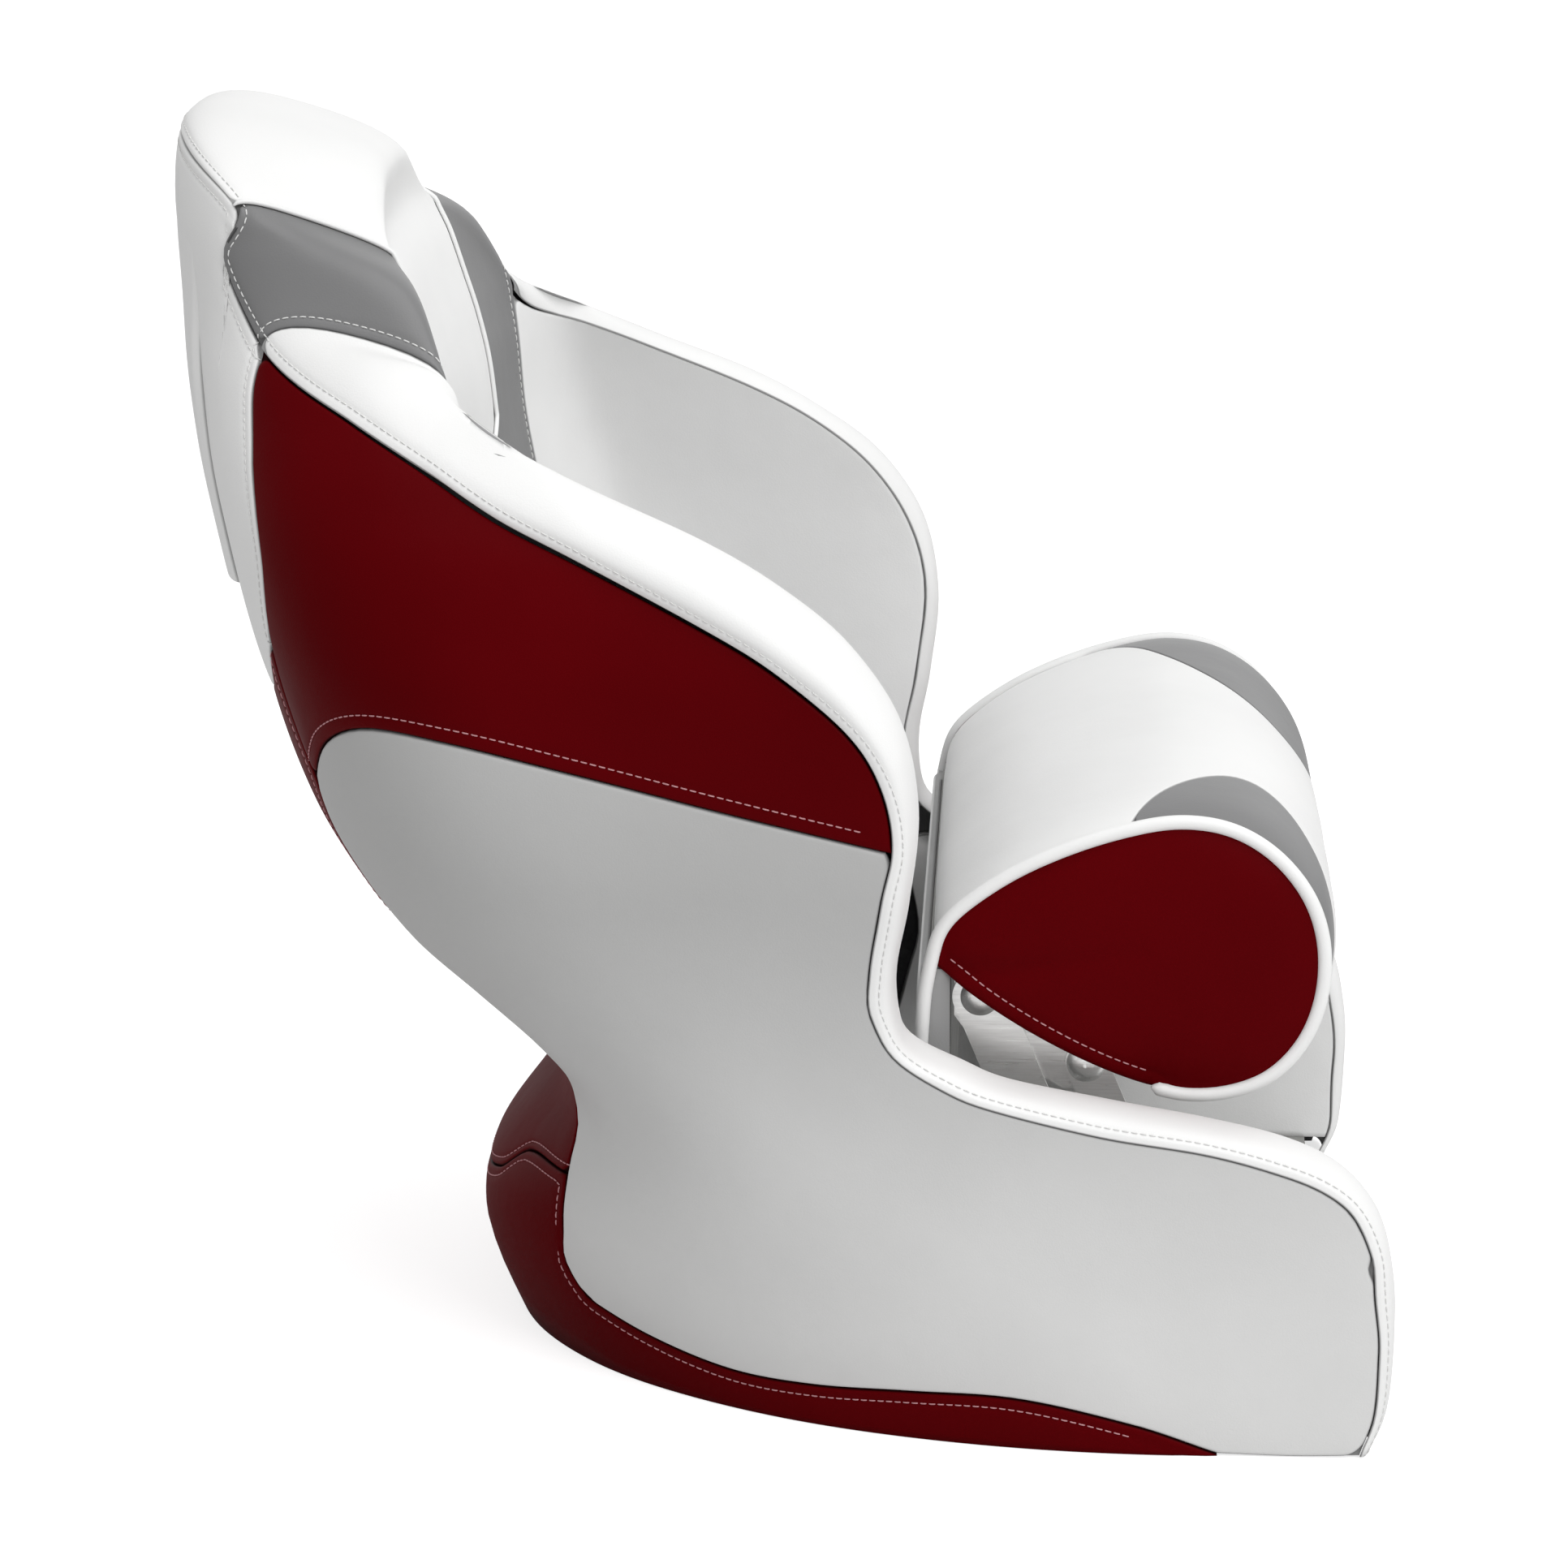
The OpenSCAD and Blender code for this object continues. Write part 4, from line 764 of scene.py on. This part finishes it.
gridPad("RimBand", capPoint, shoulder, frontFoot, upwards, "white_vinyl", 1.0, lip=1.4, fall=0.4, step=5.0,
        mirror=True, sewn=("upper", "lower", "first"), stitches=(("pale", "upper", 6.5),))
gridPad("WingPad", wallPoint, shoulder, wingEnd, towardsMiddle, "white_vinyl", 14.0, mirror=True)
gridPad("GreyPanel", capAndWall(0.2, wholeFoot), headEnd, shoulder, towardsMiddle, "grey_vinyl", 2.0,
        step=5.0, mirror=True, stitches=(("pale", "upper", 6.0), ("pale", "last", 6.5)))
gridPad("headrestPad", capAndWall(0.42, headFoot), -headEnd, headEnd, towardsMiddle, "white_vinyl", 2.0,
        step=5.0, stitches=(("pale", "upper", 6.0),))
gridPad("backCushion", backPoint, -headEnd, headEnd, towardsMiddle, "grey_vinyl", 14.0)
print("inner pads made")


# A closed surface through rings of the same count, with a point at either end
def ringSolid(name, rings, start, end, body, slot, seamAt=None):
    m, n = rings.shape[:2]
    k = np.arange(m * n).reshape(m, n)
    k = np.concatenate([k, k[:, :1]], 1)
    quads = np.stack([k[:-1, :-1], k[:-1, 1:], k[1:, 1:], k[1:, :-1]], -1).reshape(-1, 4)
    middle = rings.reshape(-1, 3).mean(0)
    verts = np.concatenate([rings.reshape(-1, 3), [start], [end]])
    fans = np.concatenate([np.stack([k[0, 1:], k[0, :-1], np.full(n, m * n)], -1),
                           np.stack([k[-1, :-1], k[-1, 1:], np.full(n, m * n + 1)], -1)])
    p = verts[np.concatenate([quads[:, [0, 1, 2]], quads[:, [0, 2, 3]], fans])] - middle
    volume = np.sum(p[:, 0] * np.cross(p[:, 1], p[:, 2]))
    faces = quads.tolist() + fans.tolist()
    if volume < 0:
        faces = [face[::-1] for face in faces]
    if seamAt is not None:
        seamAt = np.concatenate([seamAt.ravel(), [farFromSeam, farFromSeam]])
    return addMesh(name, verts, faces, body, slot, seamAt=seamAt)


# A round cord along points, with rounded ends
def cordAlong(name, points, radius, body, slot, around):
    points = np.asarray(points, float)
    way = unit(np.gradient(points, axis=0))
    side = np.cross(way, [0.0, 0.0, 1.0])
    weak = np.linalg.norm(side, axis=1) < 0.2
    side[weak] = np.cross(way[weak], [1.0, 0.0, 0.0])
    for k in range(1, len(side)):
        side[k] = unit(side[k - 1] - way[k] * np.dot(side[k - 1], way[k]))
    side[0] = unit(side[0])
    up = np.cross(way, side)
    size = np.full(len(points), radius)
    size[[0, -1]] = 0.4 * radius
    a = np.linspace(0, 2 * np.pi, around, endpoint=False)[None, :, None]
    rings = points[:, None] + size[:, None, None] * (np.cos(a) * side[:, None] + np.sin(a) * up[:, None])
    start, end = points[0] - way[0] * radius * 0.3, points[-1] + way[-1] * radius * 0.3
    return ringSolid(name, rings, start, end, body, slot)


# Points spread evenly along a path
def evenly(points, step):
    points = np.asarray(points, float)
    length = runLengths(points)
    at = np.linspace(0, length[-1], max(int(round(length[-1] / step)), 2) + 1)
    return np.stack([np.interp(at, length, points[:, c]) for c in range(points.shape[1])], -1)


# Thin welt round the headrest, over the rim and round its foot
def headEdge(s):
    t = np.linspace(0.02, 1, 40)
    r = np.linspace(0.01, 1, 60) * headFoot(s)
    return np.concatenate([capPoint(s + 0 * t, t), wallPoint(s + 0 * r, r)])


across = np.linspace(-1.98, 1.98, 80)
footLine = wallPoint(across, headFoot(across))
weltPath = np.concatenate([headEdge(-headEnd), footLine, headEdge(headEnd)[::-1]])
weltPath = evenly(weltPath, 3.0)
cordAlong("headrestWelt", weltPath, 1.5, "seat", "white_vinyl", 8)

# Linings of the lower side walls
innerRim = rimSeam(wingEnd, armEnd, 8, innerStations)
innerFront = rimSeam(armEnd, 27.45, 9, innerStations)
liningRear = seam(np.concatenate([[innerRim[0](0.0)], byY(innerForm, [[48, 190], [48, 120], [48, 16]])]), 9)
liningFoot = seam(np.concatenate([byY(innerForm, [[48, 16], [-40, 16], [-130, 16]]),
                                  [innerFront[0](9.0)]]), 8)
liningSheet = sheetOf(innerRim, liningFoot, liningRear, innerFront)


def liningPoint(u, v):
    g = liningSheet(u, 0.02 + 0.98 * v)
    return formPoint(innerForm, g[..., 0], np.minimum(g[..., 1], 213.5))


plain = liningPoint(*gridPlaces(liningPoint, 7.0, ("first", "last")))
normals = gridNormals(plain, np.broadcast_to([-1.0, 0, 0], plain.shape))
padFrom("SideLining", plain, normals, "seat", "white_vinyl", 10.0, sewn=("first", "last"), swelling=0.3,
        mirror=True, lip=1.5)

# Seat cushion: rings round its middle, with rolled edges, a crown and two sewn channels
cushion = {"pan": 140.4, "front": 59.5, "half": 240, "turn": 90, "squareness": 2.8, "thick": 76.0,
           "fall": 6.0, "roll": 13.0, "crown": 6, "sag": 4, "sagReach": 22, "channel": 0.44,
           "channelDepth": 5.0, "channelWidth": 3.2}
cushionRear = float(readTable(innerForm, 206.0)[1]) - 6


def cushionHalf(y):
    k = np.maximum(y - cushion["turn"], 0) / (cushionRear + 1 - cushion["turn"])
    return cushion["half"] * (1 - np.minimum(k, 0.9999)**cushion["squareness"])**(1 / cushion["squareness"])


yLine = cushionRear - (cushionRear - cushion["front"]) * (np.linspace(0, 1, 90))**1.6
sideLine = np.column_stack([cushionHalf(yLine), yLine])
frontLine = np.column_stack([np.linspace(cushion["half"], 0, 60), np.full(60, cushion["front"])])
halfLine = np.concatenate([sideLine, frontLine[1:]])
plan = evenly(np.concatenate([halfLine, halfLine[-2::-1] * [-1, 1]]), 5.0)[:-1]
mid = np.array([0.0, 130.0])
toEdge = np.linalg.norm(plan - mid, axis=1)


# Height of the top at a point that lies d from the edge, and its distance from the nearer channel
def cushionTop(xy, d):
    v = np.clip((xy[..., 1] - cushion["front"]) / (cushionRear - cushion["front"]), 0, 1)
    half = cushionHalf(xy[..., 1]) + 1e-6
    gap = (np.abs(xy[..., 0]) - cushion["channel"] * half) / cushion["channelWidth"]
    crown = cushion["crown"] * (1 - np.minimum(np.abs(xy[..., 0]) / half, 1)**2)
    sag = cushion["sag"] * np.exp(-d / cushion["sagReach"])
    channel = cushion["channelDepth"] * np.exp(-gap * gap)
    height = cushion["pan"] + cushion["thick"] - cushion["fall"] * v + crown - rolled(d, cushion["roll"])
    return height - sag - channel, np.abs(gap) * cushion["channelWidth"]


inset = np.concatenate([[0, 0.4, 1.2, 2.4, 4, 6, 8.5, 11.5, 15, 19, 24], np.arange(30, 240, 7)])
shrink = np.maximum(1 - inset[:, None] / toEdge, 0.02 * (1 - inset / cushion["half"])[:, None])
xy = mid + (plan - mid) * shrink[..., None]
d = np.minimum(inset[:, None] + 0 * toEdge, (toEdge * (1 - shrink)))
z, channelAt = cushionTop(xy, d * 0.9)
topRings = np.dstack([xy, z])
# The wall swells a little at the middle of its height
wall = []
for k in (1.0, 12, 24, 36, 50):
    ring = mid + (plan - mid) * (1 + 0.008 * np.sin(np.pi * k / 55))
    wall.append(np.column_stack([ring, np.full(len(plan), cushion["pan"] + k)]))
rings = np.concatenate([np.array(wall), topRings])
# Distances for the painted seam shade: none on the wall, the channels on the top, and full painted shade on
# the bottom ring
seamAt = np.concatenate([np.full((len(wall), len(plan)), farFromSeam), np.minimum(channelAt, farFromSeam)])
seamAt[0] = 0
ringSolid("seatCushion", rings, [*mid, cushion["pan"] + 1.0], [*mid, float(cushionTop(mid, 99.0)[0])],
          "seat", "grey_vinyl", seamAt)
print("seat cushion and linings made")

# The bolster: an end's outline as place and height, from the rear tip over the crest to the hem
bolster = {"half": 226.0, "middle": np.array([-95.0, 268.0]), "inset": 0.985, "crown": 0.125, "pipe": 4.0,
           "bulge": 8.5, "hemSag": 7.0, "hemRow": 9.0, "endRoll": 3.5, "endBack": 5.5, "endFace": 0.5}
endLine = smoothLine([[24, 267], [19, 285], [8, 298], [-20, 318], [-51, 333], [-84, 344], [-113, 349],
                      [-141, 345], [-165, 331], [-184, 308], [-193, 282], [-193, 252], [-184, 225],
                      [-166, 204], [-143, 194], [-118, 192], [-100, 196]])
# Where the white cover ends and the grey patches start, as half breadth along the outline
nearEdge = np.array([[0, 224], [0.3, 224], [0.318, 222], [0.336, 203], [0.356, 185], [0.381, 169],
                     [0.414, 152], [0.449, 139], [0.486, 134], [0.529, 142], [0.564, 156], [0.593, 168],
                     [0.623, 180], [0.668, 193], [0.708, 206], [0.751, 222], [0.77, 224], [1, 224]], float)
farEdge = np.array([[0, 224], [0.25, 224], [0.27, 222], [0.3, 211], [0.322, 199], [0.346, 181], [0.386, 141],
                    [0.444, 92], [0.509, 60], [0.553, 53], [0.6, 66], [0.64, 104], [0.68, 153], [0.72, 198],
                    [0.751, 222], [0.77, 224], [1, 224]], float)


def outlineAt(g):
    return readTable(endLine, np.asarray(g, float) * endLine[-1, 0])


def coverPoint(x, g):
    x, g = np.broadcast_arrays(np.asarray(x, float), np.asarray(g, float))
    u = np.minimum(np.abs(x) / bolster["half"], 1)
    crown = bolster["crown"] * (0.85 * (1 - u**12) + 0.15 * (1 - u * u))
    k = bolster["inset"] + crown * np.sqrt(np.maximum(np.sin(np.pi * g), 0))
    p = bolster["middle"] + (outlineAt(g) - bolster["middle"]) * k[..., None]
    return np.stack([x, p[..., 0], p[..., 1]], -1)


def bolsterPad(name, point, slot, swelling=0.5):
    plain = point(*gridPlaces(point, 5.0))
    outward = (plain - np.array([0, *bolster["middle"]])) * [0, 1, 1]
    return padFrom(name, plain, gridNormals(plain, outward), "bolster", slot, 9.0, swelling=swelling, lip=1.6,
                   fall=0.4)


def whitePoint(g, w):
    g, w = np.broadcast_arrays(g, w)
    right, left = -readTable(nearEdge, g)[..., 0], readTable(farEdge, g)[..., 0]
    return coverPoint(right + (left - right) * w, 0.004 + 0.992 * g)


def patchPoint(table, sign, first, last):
    def point(g, w):
        g, w = np.broadcast_arrays(first + (last - first) * np.asarray(g), w)
        inner = readTable(table, g)[..., 0]
        return coverPoint(sign * (inner + (224 - inner) * w), g)
    return point


bolsterPad("bolsterCover", whitePoint, "white_vinyl", swelling=0.6)
bolsterPad("rightBolsterPatch", patchPoint(nearEdge, -1, 0.322, 0.748), "grey_vinyl")
bolsterPad("leftBolsterPatch", patchPoint(farEdge, 1, 0.274, 0.748), "grey_vinyl")

# Red ends: a pillow inside the piping, with a rolled free hem along its lower edge
hemStart, hemEnd = endLine[0, 1:], endLine[-1, 1:]
away = np.array([hemStart[1] - hemEnd[1], hemEnd[0] - hemStart[0]]) / np.linalg.norm(hemStart - hemEnd)
if np.dot(away, hemStart - bolster["middle"]) < 0:
    away = -away
roundPart = outlineAt(np.linspace(0, 1, 150))
t = np.linspace(0, 1, 60)[:, None]
hemPart = hemEnd + (hemStart - hemEnd) * t + bolster["hemSag"] * np.sin(np.pi * t)**0.8 * away
endRing = evenly(np.concatenate([roundPart, hemPart[1:]]), 3.0)[:-1]
foldLine = np.array([[14, 262], [-20, 264], [-58, 270], [-92, 276]], float)


# How far an end stands out at a point, and the point's distance from the piping
def endRise(p):
    edge, hem = distanceTo(p, roundPart), distanceTo(p, hemPart)
    roll = rolled(np.minimum(edge, hem), bolster["endRoll"])
    pillow = bolster["bulge"] * (1 - np.exp(-(edge / 17)**1.2)) * (1 - 0.45 * np.exp(-hem / 14))
    nearTip = np.exp(-np.linalg.norm(p - foldLine[0], axis=-1) / 60)
    fold = 2.4 * nearTip * np.exp(-(distanceTo(p, foldLine) / 7)**2)
    furrow = 0.6 * np.exp(-((hem - bolster["hemRow"]) / cover["furrowWidth"])**2)
    ripple = 0.5 * np.sin(p[..., 0] / 16 + 1) * np.exp(-edge / 12)
    return pillow - roll - fold - furrow + ripple, edge


centre = np.array([-100.0, 272.0])
reach = np.linalg.norm(endRing - centre, axis=1)
# Steps in from the edge that grow with the distance, the same for all points of the ring up to 17 mm
inwards = np.concatenate([[0, 0.3, 0.8, 1.5, 2.4, 3.5, 4.8, 6.2, 7.6, 9, 10.4, 12, 14, 17],
                          np.arange(20.5, 100, 3.5)])
deeper = 0.97 * np.maximum(inwards - 17, 0) / 81
shrink = (1 - np.minimum(inwards, 17)[:, None] / reach) * (1 - deeper)[:, None]
flat = centre + (endRing - centre) * shrink[..., None]
rise, edgeAt = endRise(flat)
backX, faceX = bolster["half"] - bolster["endBack"], bolster["half"] - bolster["endFace"]
for name, side in (("rightBolsterEnd", -1), ("leftBolsterEnd", 1)):
    back = []
    for k in (0.05, 0.5, 0.9, 0.985):
        back.append(np.column_stack([np.full(len(endRing), side * backX), centre + (endRing - centre) * k]))
    front = np.dstack([side * (faceX + rise), flat])
    rings = np.concatenate([np.array(back), front])
    # The distance from the piping sets the painted seam shade next to it; the back rings get none
    seamAt = np.concatenate([np.full((len(back), len(endRing)), farFromSeam), edgeAt])
    top = faceX + float(endRise(np.array([centre]))[0][0])
    ringSolid(name, rings, [side * backX, *centre], [side * top, *centre], "bolster", "red_vinyl", seamAt)
    row = evenly(hemPart - away * bolster["hemRow"], 2.0)[4:-4]
    row = row[distanceTo(row, roundPart) > 5]
    points = np.column_stack([side * (faceX + endRise(row)[0]), row])
    noteStitches("rose", "bolster", points, np.broadcast_to([side, 0.0, 0.0], points.shape))

# Piping round each end, on down the rear corner of the bolster
downRear = np.array([[30, 104], [30, 160], [29.5, 215], [27.5, 248]], float)
pipeLine = evenly(np.concatenate([downRear, outlineAt(np.linspace(0, 1, 200))]), 3.0)
for _ in range(6):
    pipeLine[1:-1] = (pipeLine[:-2] + 2 * pipeLine[1:-1] + pipeLine[2:]) / 4
for name, side in (("rightBolsterPiping", -1), ("leftBolsterPiping", 1)):
    points = np.column_stack([np.full(len(pipeLine), side * bolster["half"]), pipeLine])
    cordAlong(name, points, bolster["pipe"], "bolster", "white_vinyl", 16)


# Padded face behind the rear board, the front of the seat when the bolster is flipped. Its sides wrap round
# the board, so they are thicker
rearPad = {"half": 223, "place": 33, "top": 262, "height": 160, "wrapFrom": 204.5, "wrap": 19.6, "thick": 7.3}


def rearPoint(a, b):
    a, b = np.broadcast_arrays(a, b)
    return np.stack([-rearPad["half"] + 2 * rearPad["half"] * a, rearPad["place"] + 0 * a,
                     rearPad["top"] - rearPad["height"] * b], -1)


plain = rearPoint(*gridPlaces(rearPoint, 6.0))
wrap = np.where(np.abs(plain[..., :1]) > rearPad["wrapFrom"], rearPad["wrap"], rearPad["thick"])
normals = np.broadcast_to([0.0, 1.0, 0.0], plain.shape)
padFrom("bolsterRearPad", plain, normals, "bolster", "white_vinyl", wrap, lip=3.0, fall=2.0, swelling=0.6)
print("bolster made")


# Thread: short stitches spaced along each row, thinner and lower at their ends
thread = {"pitch": 5.0, "length": 3.7, "radius": 0.42, "arch": 0.35}


def readAt(values, length, at):
    return np.stack([np.interp(at, length, values[:, c]) for c in range(3)], -1)


def makeThread(name, rows, body, material):
    where, ways, ups = [], [], []
    for points, normals in rows:
        length = runLengths(points)
        count = int(length[-1] / thread["pitch"])
        if count < 2:
            continue
        at = (np.arange(count) + 0.5) * length[-1] / count
        probe = 0.4 * thread["pitch"]
        ahead = readAt(points, length, at + probe) - readAt(points, length, at - probe)
        where.append(readAt(points, length, at))
        ways.append(unit(ahead, 1e-9))
        ups.append(readAt(normals, length, at))
    where, ways, ups = np.concatenate(where), np.concatenate(ways), np.concatenate(ups)
    ups = unit(ups - ways * np.sum(ups * ways, 1, keepdims=True))
    sides = np.cross(ways, ups)
    along = np.array([-0.5, -0.44, -0.25, 0, 0.25, 0.44, 0.5])
    size = thread["radius"] * np.array([0.35, 0.85, 1, 1, 1, 0.85, 0.35])
    height = thread["arch"] * (1 - 3.2 * along**2)
    around = 6
    a = np.linspace(0, 2 * np.pi, around, endpoint=False)
    ringPoints = (where[:, None, None] + ways[:, None, None] * (along * thread["length"])[:, None, None]
                  + sides[:, None, None] * (size[:, None] * np.cos(a))[..., None]
                  + ups[:, None, None] * (height[:, None] + size[:, None] * np.sin(a))[..., None])
    k = np.arange(along.size * around).reshape(-1, around)
    after = np.roll(k, -1, 1)
    one = np.concatenate([np.stack([k[:-1], after[:-1], after[1:], k[1:]], -1).reshape(-1, 4),
                          k[0, [[3, 2, 1, 0], [5, 4, 3, 0]]], k[-1, [[0, 1, 2, 3], [3, 4, 5, 0]]]])
    faces = (one[None] + k.size * np.arange(len(where))[:, None, None]).reshape(-1, 4)
    return addMesh(name, ringPoints.reshape(-1, 3), faces.tolist(), body, "white_vinyl", material)


for (kind, body), rows in threads.items():
    material = roseThread if kind == "rose" else paleThread
    piece = makeThread(kind + "Thread" + body.capitalize(), rows, body, material)
print("stitches made")


for node, made in (
        ("rear_back_panel", "rearBackPanel"), ("lower_back_panel", "lowerBackPanel"),
        ("lower_rear_panel", "lowerRearPanel"), ("rear_skirt", "rearSkirt"), ("headrest", "headrestPad"),
        ("back_cushion", "backCushion"), ("rear_back_pad", "rearBackPad"), ("seat_cushion", "seatCushion"),
        ("bolster_cushion", "bolsterCover"), ("bolster_rear_pad", "bolsterRearPad")):
    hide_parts(node)
for node, made in (
        ("red_side_panel", "RedSidePanel"), ("lower_side_panel", "LowerSidePanel"), ("rim_band", "RimBand"),
        ("wing_pad", "WingPad"), ("grey_panel", "GreyPanel"), ("side_lining", "SideLining"),
        ("bolster_end", "BolsterEnd"), ("bolster_piping", "BolsterPiping")):
    for side in ("left", "right"):
        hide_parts(side + "_" + node)

for part in frame["record"]["subparts"]:
    obj = frame["nodes"][part["node"]]
    finish = slotFinish[part["material_slot"]]
    if obj.data.materials:
        for k in range(len(obj.data.materials)):
            obj.data.materials[k] = finish
    else:
        obj.data.materials.append(finish)
print("solids finished")

# The camera stands where the object shows its right side, a little from the front and above
view = {"place": (-3.1049, -0.0302, 1.1133), "right": (0.04711, -0.99889, 0.0),
        "up": (0.2501, 0.0118, 0.96815), "back": (-0.96708, -0.04561, 0.25038), "lens": 124.0}
camera = bpy.data.cameras.new("camera")
camera.sensor_width = 36
camera.lens = view["lens"]
cameraObject = placeObject("camera", camera)
turn = np.eye(4)
turn[:3, 0], turn[:3, 1], turn[:3, 2], turn[:3, 3] = view["right"], view["up"], view["back"], view["place"]
cameraObject.matrix_world = mathutils.Matrix(turn.tolist())
bpy.context.scene.camera = cameraObject

worldStrength = 0.53
lamps = {"top": {"power": 47.0, "size": 3.0, "place": (-0.7, -0.9, 3.2)},
         "fill": {"power": 33.0, "size": 1.6, "place": (-2.5, -1.7, 2.0)}}
ground = {"half": 12.0, "height": -0.0005, "shade": 0.8, "roughness": 0.9, "glow": 0.7}
world = bpy.data.worlds.new("studio")
bpy.context.scene.world = world
world.use_nodes = True
tree = world.node_tree
background = tree.nodes["Background"]
background.inputs["Color"].default_value = (1, 1, 1, 1)
background.inputs["Strength"].default_value = worldStrength
# The camera and reflections see pure white round the seat, and the light comes from a dimmer white
seen = fromNode(tree, "Background", {"Color": (1, 1, 1, 1), "Strength": 1.0})
rays = tree.nodes.new("ShaderNodeLightPath").outputs
most = fromNode(tree, "Math", {0: rays["Is Camera Ray"], 1: rays["Is Glossy Ray"]}, operation="MAXIMUM")
either = fromNode(tree, "MixShader", {0: most, 1: background.outputs[0], 2: seen})
tree.links.new(either, tree.nodes["World Output"].inputs["Surface"])

for name, values in lamps.items():
    lamp = bpy.data.lights.new(name, "AREA")
    lamp.energy = values["power"]
    lamp.size = values["size"]
    lampObject = placeObject(name, lamp)
    lampObject.location = values["place"]
    lampObject.rotation_euler = mathutils.Vector(values["place"]).to_track_quat("Z", "Y").to_euler()

floorMesh = bpy.data.meshes.new("floor")
half, height = ground["half"], ground["height"]
corners = [(x, y, height) for x, y in ((-half, -half), (half, -half), (half, half), (-half, half))]
floorMesh.from_pydata(corners, [], [(0, 1, 2, 3)])
floor = placeObject("floor", floorMesh)
floorMaterial = bpy.data.materials.new("floor")
floorMaterial.use_nodes = True
tree = floorMaterial.node_tree
shader = tree.nodes["Principled BSDF"]
shader.inputs["Base Color"].default_value = (*[ground["shade"]] * 3, 1)
shader.inputs["Roughness"].default_value = ground["roughness"]
shader.inputs["Specular IOR Level"].default_value = 0.0
shader.inputs["Emission Color"].default_value = (1, 1, 1, 1)
cameraRay = fromNode(tree, "LightPath", out="Is Camera Ray")
glow = fromNode(tree, "Math", {0: cameraRay, 1: ground["glow"]}, operation="MULTIPLY")
tree.links.new(glow, shader.inputs["Emission Strength"])
floorMesh.materials.append(floorMaterial)

scene = bpy.context.scene
scene.view_settings.view_transform = "Standard"
print("camera and light set")
